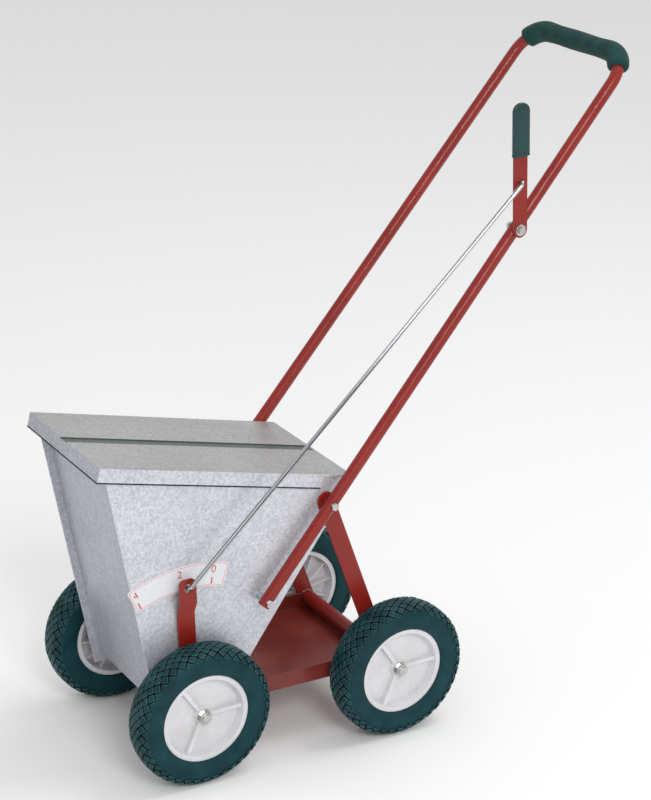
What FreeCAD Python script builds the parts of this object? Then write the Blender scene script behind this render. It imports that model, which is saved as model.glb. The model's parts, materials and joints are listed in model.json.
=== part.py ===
import FreeCAD, Part
import math
import os

import Sketcher

# Four-wheel hopper spreader for dry field chalk, pushed by a U-shaped handle.
# Millimetres. +Z is up, the machine travels towards -Y, and +X is the side
# that carries the gate lever, the control rod and the gauge.
# Places are measured from the front axle line (Y) and from the ground (Z);
# every sub-part's Placement then adds origin_shift, which brings the middle
# of the whole machine over the origin.

doc = FreeCAD.newDocument("spreader")

TOLERANCE = 0.01

DIMENSIONS = (
    # whole machine
    ("origin_shift", -269.54, "front axle to the middle of the machine"),
    ("wheelbase", 309.5, "front axle to rear axle"),
    ("axle_radius", 6.35, "both axles"),
    ("run_gap", 0.05, "radial clearance of a running fit"),
    ("side_gap", 0.4, "end play between moving neighbours"),
    ("cut_clear", 5.0, "how far a cut runs past what it cuts"),
    # wheels
    ("wheel_radius", 101.6, "tyre outside radius, also the axle height"),
    ("tyre_half", 22.25, "half of the tyre width"),
    ("tyre_shoulder", 13.0, "rounding of the tyre shoulder"),
    ("tyre_bead", 6.0, "rise of the sidewall from the rim to its full width"),
    ("seat_radius", 60.0, "rim seat under the tyre"),
    ("rim_radius", 64.0, "rim lip outside radius"),
    ("rim_half", 17.3, "half of the rim width"),
    ("rim_lip", 3.0, "thickness of the rim lip"),
    ("rim_inside", 56.5, "inside radius of the rim"),
    ("rim_taper", 1.5, "draft of the rim's inside towards the web"),
    ("rim_flare", 1.0, "draft of the rim's inside at its edges"),
    ("web_inner", 0.0, "inner face of the hub web from the wheel centre"),
    ("web_outer", 3.5, "outer face of the hub web"),
    ("barrel_radius", 13.0, "outside of the hub barrel"),
    ("barrel_inner", 20.0, "hub barrel, from the wheel centre inwards"),
    ("barrel_outer", 10.5, "hub barrel, from the wheel centre outwards"),
    ("barrel_taper", 2.0, "draft of the barrel at its ends"),
    ("rib_sunk", 0.5, "overlap of a rib with the web and the barrel"),
    ("rib_drop", 1.0, "outer rib below the end of the barrel"),
    ("rib_rim_drop", 4.0, "outer rib below the rim's edge"),
    ("rib_turn", 35.0, "first outer rib from the vertical, degrees"),
    ("rib_width", 5.5, "width of an outer hub rib"),
    ("fin_width", 1.8, "width of an inner hub rib"),
    ("fin_drop", 2.0, "inner rib below the end of the barrel"),
    ("fin_rim_drop", 6.0, "inner rib below the rim's edge"),
    ("front_track", 137.5, "centre plane to a front wheel"),
    ("rear_track", 144.2, "centre plane to a rear wheel"),
    ("wheel_washer", 1.5, "washer thickness"),
    ("washer_radius", 11.0, "washer outside radius"),
    ("wheel_spacer_radius", 9.5, "outside of the spacers on the axles"),
    ("nut_height", 7.0, "wheel nut height"),
    ("nut_corner", 9.2, "wheel nut radius over its corners"),
    ("axle_proud", 1.0, "axle end beyond its nut"),
    # hopper
    ("sheet", 1.5, "zinc sheet thickness"),
    ("hopper_half", 106.2, "centre plane to the outside of a side panel"),
    ("bottom_height", 74.1, "underside of the side panels"),
    ("bottom_front", 43.4, "front lower corner of a side panel"),
    ("bottom_rear", 42.2, "rear lower corner of a side panel"),
    ("front_lean", 12.2, "front wall from the vertical, degrees"),
    ("rear_lean", 33.5, "rear wall from the vertical, degrees"),
    ("wall_recess", 11.0, "front and rear walls behind the side panel edges"),
    ("wall_drop", 2.4, "front and rear walls below the lid"),
    ("trough_radius", 26.0, "inside of the trough about the front axle"),
    ("trough_turn", 40.0, "half angle of the trough's round bottom, degrees"),
    ("front_wall_foot", 92.0, "height of the front wall's lower edge"),
    ("rear_wall_foot", 106.0, "height of the rear wall's lower edge"),
    ("outlet_half_length", 40.0, "half of the outlet slot's length"),
    ("outlet_half_width", 6.0, "half of the outlet slot's width"),
    ("corner_cut", 374.0, "height where the rear upper corner is cut off"),
    ("corner_top", 230.0, "where that cut meets the top edge"),
    # lid and hinge
    ("lid_tilt", 11.92, "lid slope, degrees"),
    ("hinge_back", 242.0, "hinge axis behind the front axle"),
    ("hinge_height", 389.4, "hinge axis above the ground"),
    ("lid_rise", 3.91, "underside of the lid above the hinge axis"),
    ("lid_half", 110.0, "half of the lid width"),
    ("lid_front", 386.8, "hinge axis to the lid's front face"),
    ("lid_rear", 3.0, "hinge axis to the lid's rear edge"),
    ("lid_depth", 20.0, "height of the lid's turned-down edge"),
    ("lid_notch", 45.1, "hinge axis to the end of the side edges"),
    ("groove_half", 10.0, "half width of the groove pressed in the lid"),
    ("groove_depth", 1.6, "depth of that groove"),
    ("groove_clear", 3.0, "gap in the hinge leaf beyond the groove, each side"),
    ("knuckle_radius", 3.4, "hinge knuckle outside radius"),
    ("hinge_pin_radius", 1.7, "hinge pin radius"),
    ("knuckle_pitch", 38.0, "a fifth of the hinge's length, one knuckle long"),
    ("leaf_sheet", 1.2, "hinge leaf thickness"),
    ("leaf_length", 28.0, "hinge leaf length from the axis"),
    ("leaf_clear", 4.6, "hinge axis to where a leaf clears the knuckles"),
    # gate
    ("gate_radius", 25.6, "outside of the shutter about the front axle"),
    ("sleeve_radius", 11.0, "gate sleeve in the side panel"),
    ("sleeve_end", 112.0, "centre plane to the outer end of the sleeve"),
    ("gate_half_turn", 75.0, "half angle of the shutter shell, degrees"),
    ("gate_window_turn", 19.5, "shutter window ahead of the outlet, degrees"),
    ("arm_width", 25.4, "width of the flat bars"),
    ("arm_sheet", 3.0, "thickness of the flat bars"),
    ("arm_lean", 4.0, "gate arm forward of the vertical, degrees"),
    ("arm_low_end", 140.0, "arm radius where the joggle starts"),
    ("arm_high_start", 158.0, "arm radius where the joggle ends"),
    ("arm_top", 196.0, "arm radius at its upper end"),
    ("arm_corner", 9.0, "rounding of the gate arm's corners"),
    ("arm_joggle", 9.5, "sideways step of the joggle"),
    ("arm_slot_radius", 182.0, "arm radius at the middle of the rod slot"),
    ("arm_slot_half", 2.7, "half distance between the slot's end centres"),
    ("arm_slot_end", 4.6, "radius of the slot's ends"),
    # gauge
    ("gauge_inner", 173.2, "gauge plate inner radius about the front axle"),
    ("gauge_outer", 208.5, "gauge plate outer radius"),
    ("gauge_sheet", 0.6, "gauge plate thickness"),
    ("gauge_sweep", 43.0, "gauge plate length, degrees"),
    ("gauge_front", 27.0, "gauge plate front end from the vertical, degrees"),
    # agitator
    ("agitator_half", 98.0, "half length of the agitator"),
    ("agitator_radius", 21.0, "reach of the agitator blades"),
    ("agitator_core", 9.0, "agitator sleeve outside radius"),
    ("blade_sheet", 2.0, "agitator blade thickness"),
    # base pan, struts and rear axle
    ("pan_half", 104.2, "half width of the base pan"),
    ("pan_sheet", 2.0, "base pan sheet thickness"),
    ("pan_floor", 85.5, "underside of the base pan"),
    ("pan_edge", 110.0, "top of the pan's side edges"),
    ("pan_front_top", 150.0, "top of the pan's front edge"),
    ("pan_rear", 324.0, "rear end of the base pan"),
    ("pan_corner", 12.0, "cut at the rear upper corners of the pan"),
    ("cross_radius", 11.0, "cross tube over the rear axle"),
    ("cross_gap", 1.0, "radial gap between the cross tube and the axle"),
    ("strut_end", 12.7, "radius of the strut ends"),
    ("pan_bolt_side", 60.0, "centre plane to a pan screw"),
    ("pan_bolt_drop", 14.0, "pan screw below the top of the front edge"),
    ("pan_bolt_radius", 2.5, "pan screw shank"),
    ("pan_head_radius", 5.5, "pan screw head"),
    ("pan_head", 3.0, "pan screw head height"),
    ("pan_bolt_tail", 4.0, "pan screw end inside the hopper"),
    # handle
    ("tube_radius", 8.5, "handle tube outside radius"),
    ("tube_wall", 1.5, "handle tube wall"),
    ("handle_foot_back", 101.05, "handle tube lower end behind the front axle"),
    ("handle_foot_height", 233.6, "handle tube lower end above the ground"),
    ("handle_lean", 38.51, "handle from the vertical, degrees"),
    ("handle_foot_half", 124.5, "centre plane to the tube's lower end"),
    ("handle_splay", 0.704, "each leg's lean towards the centre, degrees"),
    ("handle_reach", 904.2, "lower end to the crossbar's centre line"),
    ("handle_bend", 45.0, "radius of the two bends"),
    ("grip_radius", 14.5, "foam grip outside radius"),
    ("grip_turn", 58.0, "how far round each bend the grip goes, degrees"),
    ("low_bolt_along", 8.1, "lower bolt along the tube"),
    ("high_bolt_along", 166.6, "upper bolt along the tube"),
    ("bolt_radius", 3.0, "handle bolt shank"),
    ("bolt_corner", 5.8, "handle bolt head over its corners"),
    ("bolt_head", 4.0, "handle bolt head height"),
    ("bolt_nut", 5.0, "handle nut height"),
    ("bolt_tail", 9.0, "bolt end inside the hopper"),
    ("spacer_radius", 5.0, "handle spacer outside radius"),
    # lever and rod
    ("lever_back", 487.5, "lever pivot behind the front axle"),
    ("lever_height", 719.3, "lever pivot above the ground"),
    ("lever_lean", 4.3, "lever forward of the vertical, degrees"),
    ("lever_face", 126.2, "centre plane to the lever's inner face"),
    ("lever_width", 22.0, "width of the lever bar"),
    ("lever_hook", 69.4, "pivot to the rod's hole"),
    ("lever_top", 176.0, "pivot to the top of the lever bar"),
    ("lever_grip_foot", 104.3, "pivot to the lower end of the vinyl grip"),
    ("lever_grip_top", 178.5, "pivot to the top of the vinyl grip"),
    ("lever_grip_wall", 2.2, "vinyl grip thickness round the bar"),
    ("lever_grip_corner", 8.0, "cut at the grip's upper corners"),
    ("pivot_radius", 3.0, "lever pivot bolt shank"),
    ("pivot_gap", 0.1, "play on each side of the lever bar"),
    ("pivot_spacer_radius", 7.0, "washer between the tube and the lever"),
    ("pivot_washer_radius", 8.0, "washer outside the lever"),
    ("pivot_washer", 1.2, "thickness of that washer"),
    ("pivot_corner", 5.8, "pivot bolt head and nut over the corners"),
    ("pivot_head", 4.0, "pivot bolt head height"),
    ("pivot_nut", 5.0, "pivot nut height"),
    ("pivot_tail", 6.0, "pivot bolt end beyond the tube"),
    ("rod_radius", 3.0, "control rod radius"),
    ("rod_bend", 6.0, "bend radius of the rod's centre line"),
    ("rod_low_side", 128.0, "centre plane to the rod above the gate arm"),
    ("rod_high_side", 136.6, "centre plane to the rod beside the lever"),
    ("rod_low_tip", 114.0, "centre plane to the rod's lower tip"),
    ("rod_high_tip", 122.1, "centre plane to the rod's upper tip"),
    ("rod_rest_along", 2.18, "rod's lower end above the middle of its slot"),
    ("rod_rest_across", -0.456, "rod's lower end behind the middle of its slot"),
)


def make_sheet():
    sheet = doc.addObject("Spreadsheet::Sheet", "dims")
    for row, (alias, value, meaning) in enumerate(DIMENSIONS, start=1):
        sheet.set("A%d" % row, meaning)
        sheet.set("B%d" % row, str(value))
        sheet.setAlias("B%d" % row, alias)
    doc.recompute()
    return sheet


sheet = make_sheet()
nodes = []


def value(expression):
    """Number that an expression over the sheet gives."""
    result = sheet.evalExpression(expression)
    return float(getattr(result, "Value", result))


def dims(alias):
    return float(getattr(sheet, alias))


def put(item, x=0.0, y=0.0, z=0.0, rotation=None):
    """Place an object at x, y from the front axle and z from the ground."""
    base = FreeCAD.Vector(x, y + dims("origin_shift"), z)
    item.Placement = FreeCAD.Placement(base, rotation or FreeCAD.Rotation())


def turn_x(degrees):
    return FreeCAD.Rotation(FreeCAD.Vector(1, 0, 0), degrees)


ALONG_X = FreeCAD.Rotation(FreeCAD.Vector(0, 1, 0), 90)


# ---------------------------------------------------------------- bodies

def new_body(label):
    body = doc.addObject("PartDesign::Body", label)
    body.Label = label
    nodes.append(body)
    return body


def new_sketch(body, role, name):
    sketch = body.newObject("Sketcher::SketchObject", body.Name + "_" + name)
    plane = [part for part in body.Origin.OriginFeatures if part.Role == role][0]
    sketch.AttachmentSupport = (plane, [""])
    sketch.MapMode = "FlatFace"
    return sketch


def fix_number(sketch, constraint, expression):
    index = sketch.addConstraint(constraint)
    name = "size%d" % index
    sketch.renameConstraint(index, name)
    sketch.setExpression("Constraints." + name, expression)


def fix_point(sketch, geometry, corner, across, up):
    """Hold one point of the sketch at two expressions from its origin."""
    for kind, expression in (("DistanceX", across), ("DistanceY", up)):
        number = value(expression)
        fix_number(sketch, Sketcher.Constraint(kind, -1, 1, geometry, corner, number), expression)


def polygon(sketch, corners):
    """Closed outline whose corners are pairs of expressions."""
    points = [FreeCAD.Vector(value(across), value(up), 0) for across, up in corners]
    first = sketch.GeometryCount
    for index, point in enumerate(points):
        after = points[(index + 1) % len(points)]
        sketch.addGeometry(Part.LineSegment(point, after), False)
    for index in range(len(points)):
        after = (index + 1) % len(points)
        sketch.addConstraint(Sketcher.Constraint("Coincident", first + index, 2, first + after, 1))
    for index, (across, up) in enumerate(corners):
        fix_point(sketch, first + index, 1, across, up)


def circle(sketch, across, up, radius):
    centre = FreeCAD.Vector(value(across), value(up), 0)
    number = value(radius)
    normal = FreeCAD.Vector(0, 0, 1)
    index = sketch.addGeometry(Part.Circle(centre, normal, number), False)
    fix_point(sketch, index, 3, across, up)
    fix_number(sketch, Sketcher.Constraint("Radius", index, number), radius)


def slot(sketch, start, end, radius):
    """Straight outline with round ends about two centres."""
    first = FreeCAD.Vector(value(start[0]), value(start[1]), 0)
    second = FreeCAD.Vector(value(end[0]), value(end[1]), 0)
    number = value(radius)
    normal = FreeCAD.Vector(0, 0, 1)
    along = (second - first).normalize()
    left = FreeCAD.Vector(-along.y, along.x, 0) * number
    angle = math.atan2(along.y, along.x)
    quarter = math.pi / 2
    one_circle = Part.Circle(first, normal, number)
    two_circle = Part.Circle(second, normal, number)
    round_start = Part.ArcOfCircle(one_circle, angle + quarter, angle + 3 * quarter)
    round_end = Part.ArcOfCircle(two_circle, angle - quarter, angle + quarter)
    one = sketch.addGeometry(round_start, False)
    side = sketch.addGeometry(Part.LineSegment(first - left, second - left), False)
    two = sketch.addGeometry(round_end, False)
    back = sketch.addGeometry(Part.LineSegment(second + left, first + left), False)
    sketch.addConstraint(Sketcher.Constraint("Tangent", one, 2, side, 1))
    sketch.addConstraint(Sketcher.Constraint("Tangent", side, 2, two, 1))
    sketch.addConstraint(Sketcher.Constraint("Tangent", two, 2, back, 1))
    sketch.addConstraint(Sketcher.Constraint("Tangent", back, 2, one, 1))
    fix_point(sketch, one, 3, *start)
    fix_point(sketch, two, 3, *end)
    fix_number(sketch, Sketcher.Constraint("Radius", one, number), radius)


def pad(body, sketch, length, midplane=False, reverse=False):
    feature = body.newObject("PartDesign::Pad", sketch.Name + "_pad")
    feature.Profile = sketch
    feature.Length = value(length)
    feature.setExpression("Length", length)
    feature.Midplane = midplane
    feature.Reversed = reverse
    sketch.Visibility = False
    return feature


def pocket(body, sketch, reverse=False):
    """Cut the sketch through the whole body on one side of its plane."""
    feature = body.newObject("PartDesign::Pocket", sketch.Name + "_cut")
    feature.Profile = sketch
    feature.Type = "ThroughAll"
    feature.Reversed = reverse
    sketch.Visibility = False
    return feature


def revolve(body, sketch, turn="360"):
    """Turn the sketch about its own horizontal axis."""
    feature = body.newObject("PartDesign::Revolution", sketch.Name + "_turned")
    feature.Profile = sketch
    feature.ReferenceAxis = (sketch, ["H_Axis"])
    feature.Angle = value(turn)
    feature.setExpression("Angle", turn)
    sketch.Visibility = False
    return feature


def round_edges(body, edges, radius):
    base = body.Tip
    feature = body.newObject("PartDesign::Fillet", body.Name + "_rounding")
    feature.Base = (base, edges)
    feature.Radius = value(radius)
    feature.setExpression("Radius", radius)
    body.Tip = feature


def rectangle(sketch, low, high):
    polygon(sketch, ((low[0], low[1]), (high[0], low[1]), (high[0], high[1]), (low[0], high[1])))


def wide_sheet(label, corners, half_width):
    """Sheet of constant profile in YZ, centred on the middle plane."""
    body = new_body(label)
    outline = new_sketch(body, "YZ_Plane", "profile")
    polygon(outline, corners)
    pad(body, outline, "2 * (%s)" % half_width, midplane=True)
    put(body)
    return body


# ---------------------------------------------------------------- primitives

def cylinder(name, radius, length):
    part = doc.addObject("Part::Cylinder", name)
    part.setExpression("Radius", radius)
    part.setExpression("Height", length)
    return part


def hexagon(name, corner, length):
    part = doc.addObject("Part::Prism", name)
    part.Polygon = 6
    part.setExpression("Circumradius", corner)
    part.setExpression("Height", length)
    return part


def cut(name, base, tool):
    part = doc.addObject("Part::Cut", name)
    part.Base = base
    part.Tool = tool
    return part


def fuse(name, shapes):
    part = doc.addObject("Part::MultiFuse", name)
    part.Shapes = shapes
    return part


def ring(name, outer, inner, length):
    """Tube along local Z."""
    return cut(name, cylinder(name + "_outside", outer, length), cylinder(name + "_bore", inner, length))


def lie(part, x, y, z):
    """Lay a part that stands along Z down along +X, starting at x."""
    put(part, x, y, z, ALONG_X)
    return part


def group(label, parts):
    """One node of separate solids."""
    node = doc.addObject("Part::Compound", label)
    node.Label = label
    node.Links = parts
    nodes.append(node)
    return node


def single(label, part):
    part.Label = label
    nodes.append(part)
    return part


# ---------------------------------------------------------------- hopper

def front_edge(height, inset="0"):
    """Y of the front wall line at a height, moved inwards by inset."""
    slope = "(%s - dims.bottom_height) * tan(dims.front_lean * 1 deg)" % height
    return "-dims.bottom_front - %s + (%s) / cos(dims.front_lean * 1 deg)" % (slope, inset)


def rear_edge(height, inset="0"):
    slope = "(%s - dims.bottom_height) * tan(dims.rear_lean * 1 deg)" % height
    return "dims.bottom_rear + %s - (%s) / cos(dims.rear_lean * 1 deg)" % (slope, inset)


def top_line(back):
    """Height just under the closed lid at a place behind the front axle."""
    seat = "dims.hinge_height + (dims.lid_rise - dims.side_gap) / cos(dims.lid_tilt * 1 deg)"
    return "%s - (%s - dims.hinge_back) * tan(dims.lid_tilt * 1 deg)" % (seat, back)


def wall_top(edge, lower):
    """Height where a wall's outer face meets the plane under the lid."""
    low = dims("hinge_height") - dims("lid_front")
    high = dims("hinge_height") + dims("lid_front")
    for _ in range(40):
        middle = (low + high) / 2
        if middle < value(top_line("(" + edge("%.4f" % middle, lower) + ")")):
            low = middle
        else:
            high = middle
    return low


def side_panel(label, side):
    front_top = "%.3f" % wall_top(front_edge, "0")
    body = new_body(label)
    outline = new_sketch(body, "YZ_Plane", "outline")
    polygon(outline, (
        ("-dims.bottom_front", "dims.bottom_height"),
        ("dims.bottom_rear", "dims.bottom_height"),
        (rear_edge("dims.corner_cut"), "dims.corner_cut"),
        ("dims.corner_top", top_line("dims.corner_top")),
        (front_edge(front_top), front_top),
    ))
    circle(outline, "0", "dims.wheel_radius", "dims.sleeve_radius + dims.run_gap")
    for along in ("dims.low_bolt_along", "dims.high_bolt_along"):
        back, height = handle_point(along)
        circle(outline, back, height, "dims.bolt_radius")
    pad(body, outline, "dims.sheet", reverse=side > 0)
    put(body, side * dims("hopper_half"))


def wall(label, edge, foot):
    """Sloping front or rear wall between the side panels."""
    outer = "dims.wall_recess"
    inner = "dims.wall_recess + dims.sheet"
    top = "%.3f" % (wall_top(edge, outer) - dims("wall_drop"))
    corners = (
        (edge(foot, outer), foot),
        (edge(foot, inner), foot),
        (edge(top, inner), top),
        (edge(top, outer), top),
    )
    return wide_sheet(label, corners, "dims.hopper_half - dims.sheet")


def lip_corners(side):
    """Flat lip that runs from the trough's round bottom to a wall's inner face."""
    if side < 0:
        lean, foot = "dims.front_lean", "dims.bottom_front"
    else:
        lean, foot = "dims.rear_lean", "dims.bottom_rear"
    turn = math.radians(dims("trough_turn"))
    angle = math.radians(value(lean))
    # outward normal of the wall and its distance from the axle
    normal = (side * math.cos(angle), -math.sin(angle))
    drop = dims("bottom_height") - dims("wheel_radius")
    reach = abs(value(foot)) * math.cos(angle) - drop * math.sin(angle)
    reach -= dims("wall_recess") + dims("sheet")
    along = (side * math.cos(turn), math.sin(turn))
    corners = []
    for radius in (dims("trough_radius"), dims("trough_radius") + dims("sheet")):
        start = (side * radius * math.sin(turn), -radius * math.cos(turn))
        gap = reach - start[0] * normal[0] - start[1] * normal[1]
        length = gap / (along[0] * normal[0] + along[1] * normal[1])
        end = (start[0] + along[0] * length, start[1] + along[1] * length)
        corners.append((start, end))
    (inner_start, inner_end), (outer_start, outer_end) = corners
    return inner_start, outer_start, outer_end, inner_end


def trough():
    body = new_body("hopper_trough")
    half = "(dims.hopper_half - dims.sheet)"
    shell = new_sketch(body, "XZ_Plane", "bottom")
    rectangle(shell, ("-" + half, "-dims.trough_radius - dims.sheet"), (half, "-dims.trough_radius"))
    bottom = revolve(body, shell, "2 * dims.trough_turn")
    bottom.Midplane = True
    for side, name in ((-1, "front_lip"), (1, "rear_lip")):
        outline = new_sketch(body, "YZ_Plane", name)
        corners = [("%.4f" % across, "%.4f" % up) for across, up in lip_corners(side)]
        polygon(outline, corners)
        pad(body, outline, "2 * " + half, midplane=True)
    outlet = new_sketch(body, "XY_Plane", "outlet")
    low = ("-dims.outlet_half_length", "-dims.outlet_half_width")
    high = ("dims.outlet_half_length", "dims.outlet_half_width")
    rectangle(outlet, low, high)
    pocket(body, outlet)
    put(body, 0, 0, dims("wheel_radius"))


def gauge_plate():
    body = new_body("gauge_plate")
    section = new_sketch(body, "XZ_Plane", "section")
    rectangle(section, ("0", "dims.gauge_inner"), ("dims.gauge_sheet", "dims.gauge_outer"))
    revolve(body, section, "dims.gauge_sweep")
    rear_end = turn_x(dims("gauge_front") - dims("gauge_sweep"))
    put(body, dims("hopper_half"), 0, dims("wheel_radius"), rear_end)


# ---------------------------------------------------------------- lid and hinge

def lid_placement(item):
    put(item, 0, dims("hinge_back"), dims("hinge_height"), turn_x(-dims("lid_tilt")))


def lid():
    body = new_body("lid")
    under = "dims.lid_rise"
    over = "(dims.lid_rise + dims.sheet)"
    foot = "(dims.lid_rise + dims.sheet - dims.lid_depth)"
    inner = "(dims.lid_half - dims.sheet)"
    groove = "dims.groove_half"
    section = new_sketch(body, "XZ_Plane", "section")
    polygon(section, (
        ("-dims.lid_half", foot),
        ("-" + inner, foot),
        ("-" + inner, under),
        ("-%s - dims.sheet" % groove, under),
        ("-%s - dims.sheet" % groove, under + " - dims.groove_depth"),
        ("%s + dims.sheet" % groove, under + " - dims.groove_depth"),
        ("%s + dims.sheet" % groove, under),
        (inner, under),
        (inner, foot),
        ("dims.lid_half", foot),
        ("dims.lid_half", over),
        (groove, over),
        (groove, over + " - dims.groove_depth"),
        ("-" + groove, over + " - dims.groove_depth"),
        ("-" + groove, over),
        ("-dims.lid_half", over),
    ))
    pad(body, section, "dims.lid_front")
    tail = new_sketch(body, "XZ_Plane", "tail")
    rectangle(tail, ("-dims.lid_half", under), ("dims.lid_half", over))
    pad(body, tail, "dims.lid_rear", reverse=True)
    edge = new_sketch(body, "YZ_Plane", "front_edge")
    rectangle(edge, ("-dims.lid_front", foot), ("-dims.lid_front + dims.sheet", under))
    pad(body, edge, "2 * dims.lid_half", midplane=True)
    notch = new_sketch(body, "YZ_Plane", "notch")
    low = ("-dims.lid_notch", foot + " - dims.cut_clear")
    high = ("dims.lid_rear", under + " - dims.groove_depth")
    rectangle(notch, low, high)
    relief = pocket(body, notch)
    relief.Midplane = True
    lid_placement(body)


def knuckle_span(index):
    """Start and length of a knuckle; the middle place stays free for the groove."""
    start = "(%d - 2.5) * dims.knuckle_pitch + dims.side_gap / 2" % index
    return start, "dims.knuckle_pitch - dims.side_gap"


def groove_room(label, corner):
    """Gap in a leaf that clears the underside of the lid's groove."""
    gap = doc.addObject("Part::Box", label + "_gap")
    gap.setExpression("Length", "2 * (dims.groove_half + dims.groove_clear)")
    gap.setExpression("Width", "dims.leaf_length")
    gap.setExpression("Height", "dims.leaf_sheet")
    start = FreeCAD.Vector(-dims("groove_half") - dims("groove_clear"), corner.y, corner.z)
    gap.Placement = FreeCAD.Placement(start, FreeCAD.Rotation())
    return gap


def hinge_leaf(label, own, bore, leaf_angle, offset, place, split=False):
    """Leaf with its share of the knuckles, split where the lid's groove passes.

    The leaf lies along local -Y turned by leaf_angle, its near face at offset
    from the axis.
    """
    outsides = []
    bores = []
    for index in own:
        start, length = knuckle_span(index)
        barrel = cylinder("%s_knuckle_%d" % (label, index), "dims.knuckle_radius", length)
        barrel.Placement = FreeCAD.Placement(FreeCAD.Vector(value(start), 0, 0), ALONG_X)
        hole = cylinder("%s_bore_%d" % (label, index), bore, length)
        hole.Placement = barrel.Placement
        tongue = doc.addObject("Part::Box", "%s_tongue_%d" % (label, index))
        tongue.setExpression("Length", length)
        tongue.setExpression("Width", "dims.leaf_clear")
        tongue.setExpression("Height", "dims.leaf_sheet")
        corner = FreeCAD.Vector(value(start), -dims("leaf_clear"), offset)
        tongue.Placement = turned(corner, leaf_angle)
        outsides += [barrel, tongue]
        bores.append(hole)
    plate = doc.addObject("Part::Box", label + "_plate")
    plate.setExpression("Length", "5 * dims.knuckle_pitch")
    plate.setExpression("Width", "dims.leaf_length - dims.leaf_clear")
    plate.setExpression("Height", "dims.leaf_sheet")
    corner = FreeCAD.Vector(-2.5 * dims("knuckle_pitch"), -dims("leaf_length"), offset)
    plate.Placement = turned(corner, leaf_angle)
    if split:
        bores.append(groove_room(label, corner))
    body = fuse(label + "_solid", outsides + [plate])
    holes = fuse(label + "_holes", bores)
    leaf = single(label, cut(label, body, holes))
    place(leaf)


def turned(corner, degrees):
    """Placement of a box corner in a frame turned about X."""
    rotation = turn_x(degrees)
    return FreeCAD.Placement(rotation.multVec(corner), rotation)


def hinge():
    lid_gap = dims("lid_rise") - dims("leaf_sheet")
    loose = "dims.hinge_pin_radius + dims.run_gap"
    tight = "dims.hinge_pin_radius"
    hinge_leaf("lid_hinge_leaf", (1, 3), loose, 0.0, lid_gap, lid_placement, split=True)
    # distance from the hinge axis to the rear wall's outer face
    angle = math.radians(dims("rear_lean"))
    foot_gap = value(rear_edge("dims.hinge_height", "dims.wall_recess")) - dims("hinge_back")
    leaf_gap = -foot_gap * math.cos(angle) - dims("leaf_sheet")
    leaf_turn = 90.0 - dims("rear_lean")

    def on_axis(item):
        put(item, 0, dims("hinge_back"), dims("hinge_height"))

    hinge_leaf("rear_hinge_leaf", (0, 4), tight, leaf_turn, leaf_gap, on_axis)
    pin = cylinder("hinge_pin", tight, "5 * dims.knuckle_pitch + 2 * dims.leaf_sheet")
    half = -2.5 * dims("knuckle_pitch") - dims("leaf_sheet")
    single("hinge_pin", lie(pin, half, dims("hinge_back"), dims("hinge_height")))


# ---------------------------------------------------------------- gate

def gate_shutter():
    body = new_body("gate_shutter")
    half = "(dims.hopper_half - 2 * dims.sheet - 2 * dims.side_gap)"
    shell = new_sketch(body, "XZ_Plane", "shell")
    rectangle(shell, ("-" + half, "-dims.gate_radius"), (half, "dims.sheet - dims.gate_radius"))
    curve = revolve(body, shell, "2 * dims.gate_half_turn")
    curve.Midplane = True
    window = new_sketch(body, "XY_Plane", "window")
    low = ("-dims.outlet_half_length", "-dims.outlet_half_width")
    high = ("dims.outlet_half_length", "dims.outlet_half_width")
    rectangle(window, low, high)
    pocket(body, window)
    put(body, 0, 0, dims("wheel_radius"), turn_x(-dims("gate_window_turn")))


def gate_end(side, name):
    """Disc that closes one end of the shutter, with the sleeve it turns on."""
    end = dims("hopper_half") - 2 * dims("sheet") - 2 * dims("side_gap")
    disc = cylinder(name + "_disc", "dims.gate_radius", "dims.sheet + dims.side_gap")
    sleeve_length = "dims.sleeve_end - dims.hopper_half + 2 * dims.sheet + 2 * dims.side_gap"
    sleeve = cylinder(name + "_sleeve", "dims.sleeve_radius", sleeve_length)
    bore = cylinder(name + "_bore", "dims.axle_radius + dims.run_gap", sleeve_length)
    part = cut(name, fuse(name + "_solid", [disc, sleeve]), bore)
    rotation = FreeCAD.Rotation(FreeCAD.Vector(0, 1, 0), side * 90)
    put(part, side * end, 0, dims("wheel_radius"), rotation)
    return part


def gate_arm():
    """Upright flat bar with a joggle that carries its slotted top outboard."""
    body = new_body("gate_arm")
    inner = "dims.sleeve_end - dims.arm_sheet"
    outer = "dims.sleeve_end"
    section = new_sketch(body, "XZ_Plane", "section")
    polygon(section, (
        (inner, "-dims.arm_width / 2"),
        (outer, "-dims.arm_width / 2"),
        (outer, "dims.arm_low_end"),
        (outer + " + dims.arm_joggle", "dims.arm_high_start"),
        (outer + " + dims.arm_joggle", "dims.arm_top"),
        (inner + " + dims.arm_joggle", "dims.arm_top"),
        (inner + " + dims.arm_joggle", "dims.arm_high_start"),
        (inner, "dims.arm_low_end"),
    ))
    pad(body, section, "dims.arm_width", midplane=True)
    doc.recompute()
    ends = [name for name, edge in numbered(body.Shape.Edges, "Edge") if is_arm_corner(edge)]
    round_edges(body, ends, "dims.arm_corner")
    holes = new_sketch(body, "YZ_Plane", "holes")
    circle(holes, "0", "0", "dims.sleeve_radius")
    middle = "dims.arm_slot_radius"
    low = ("0", middle + " - dims.arm_slot_half")
    high = ("0", middle + " + dims.arm_slot_half")
    slot(holes, low, high, "dims.arm_slot_end")
    openings = pocket(body, holes)
    openings.Midplane = True
    put(body, 0, 0, dims("wheel_radius"), turn_x(dims("arm_lean")))


def numbered(shapes, word):
    return [("%s%d" % (word, index), shape) for index, shape in enumerate(shapes, start=1)]


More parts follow.
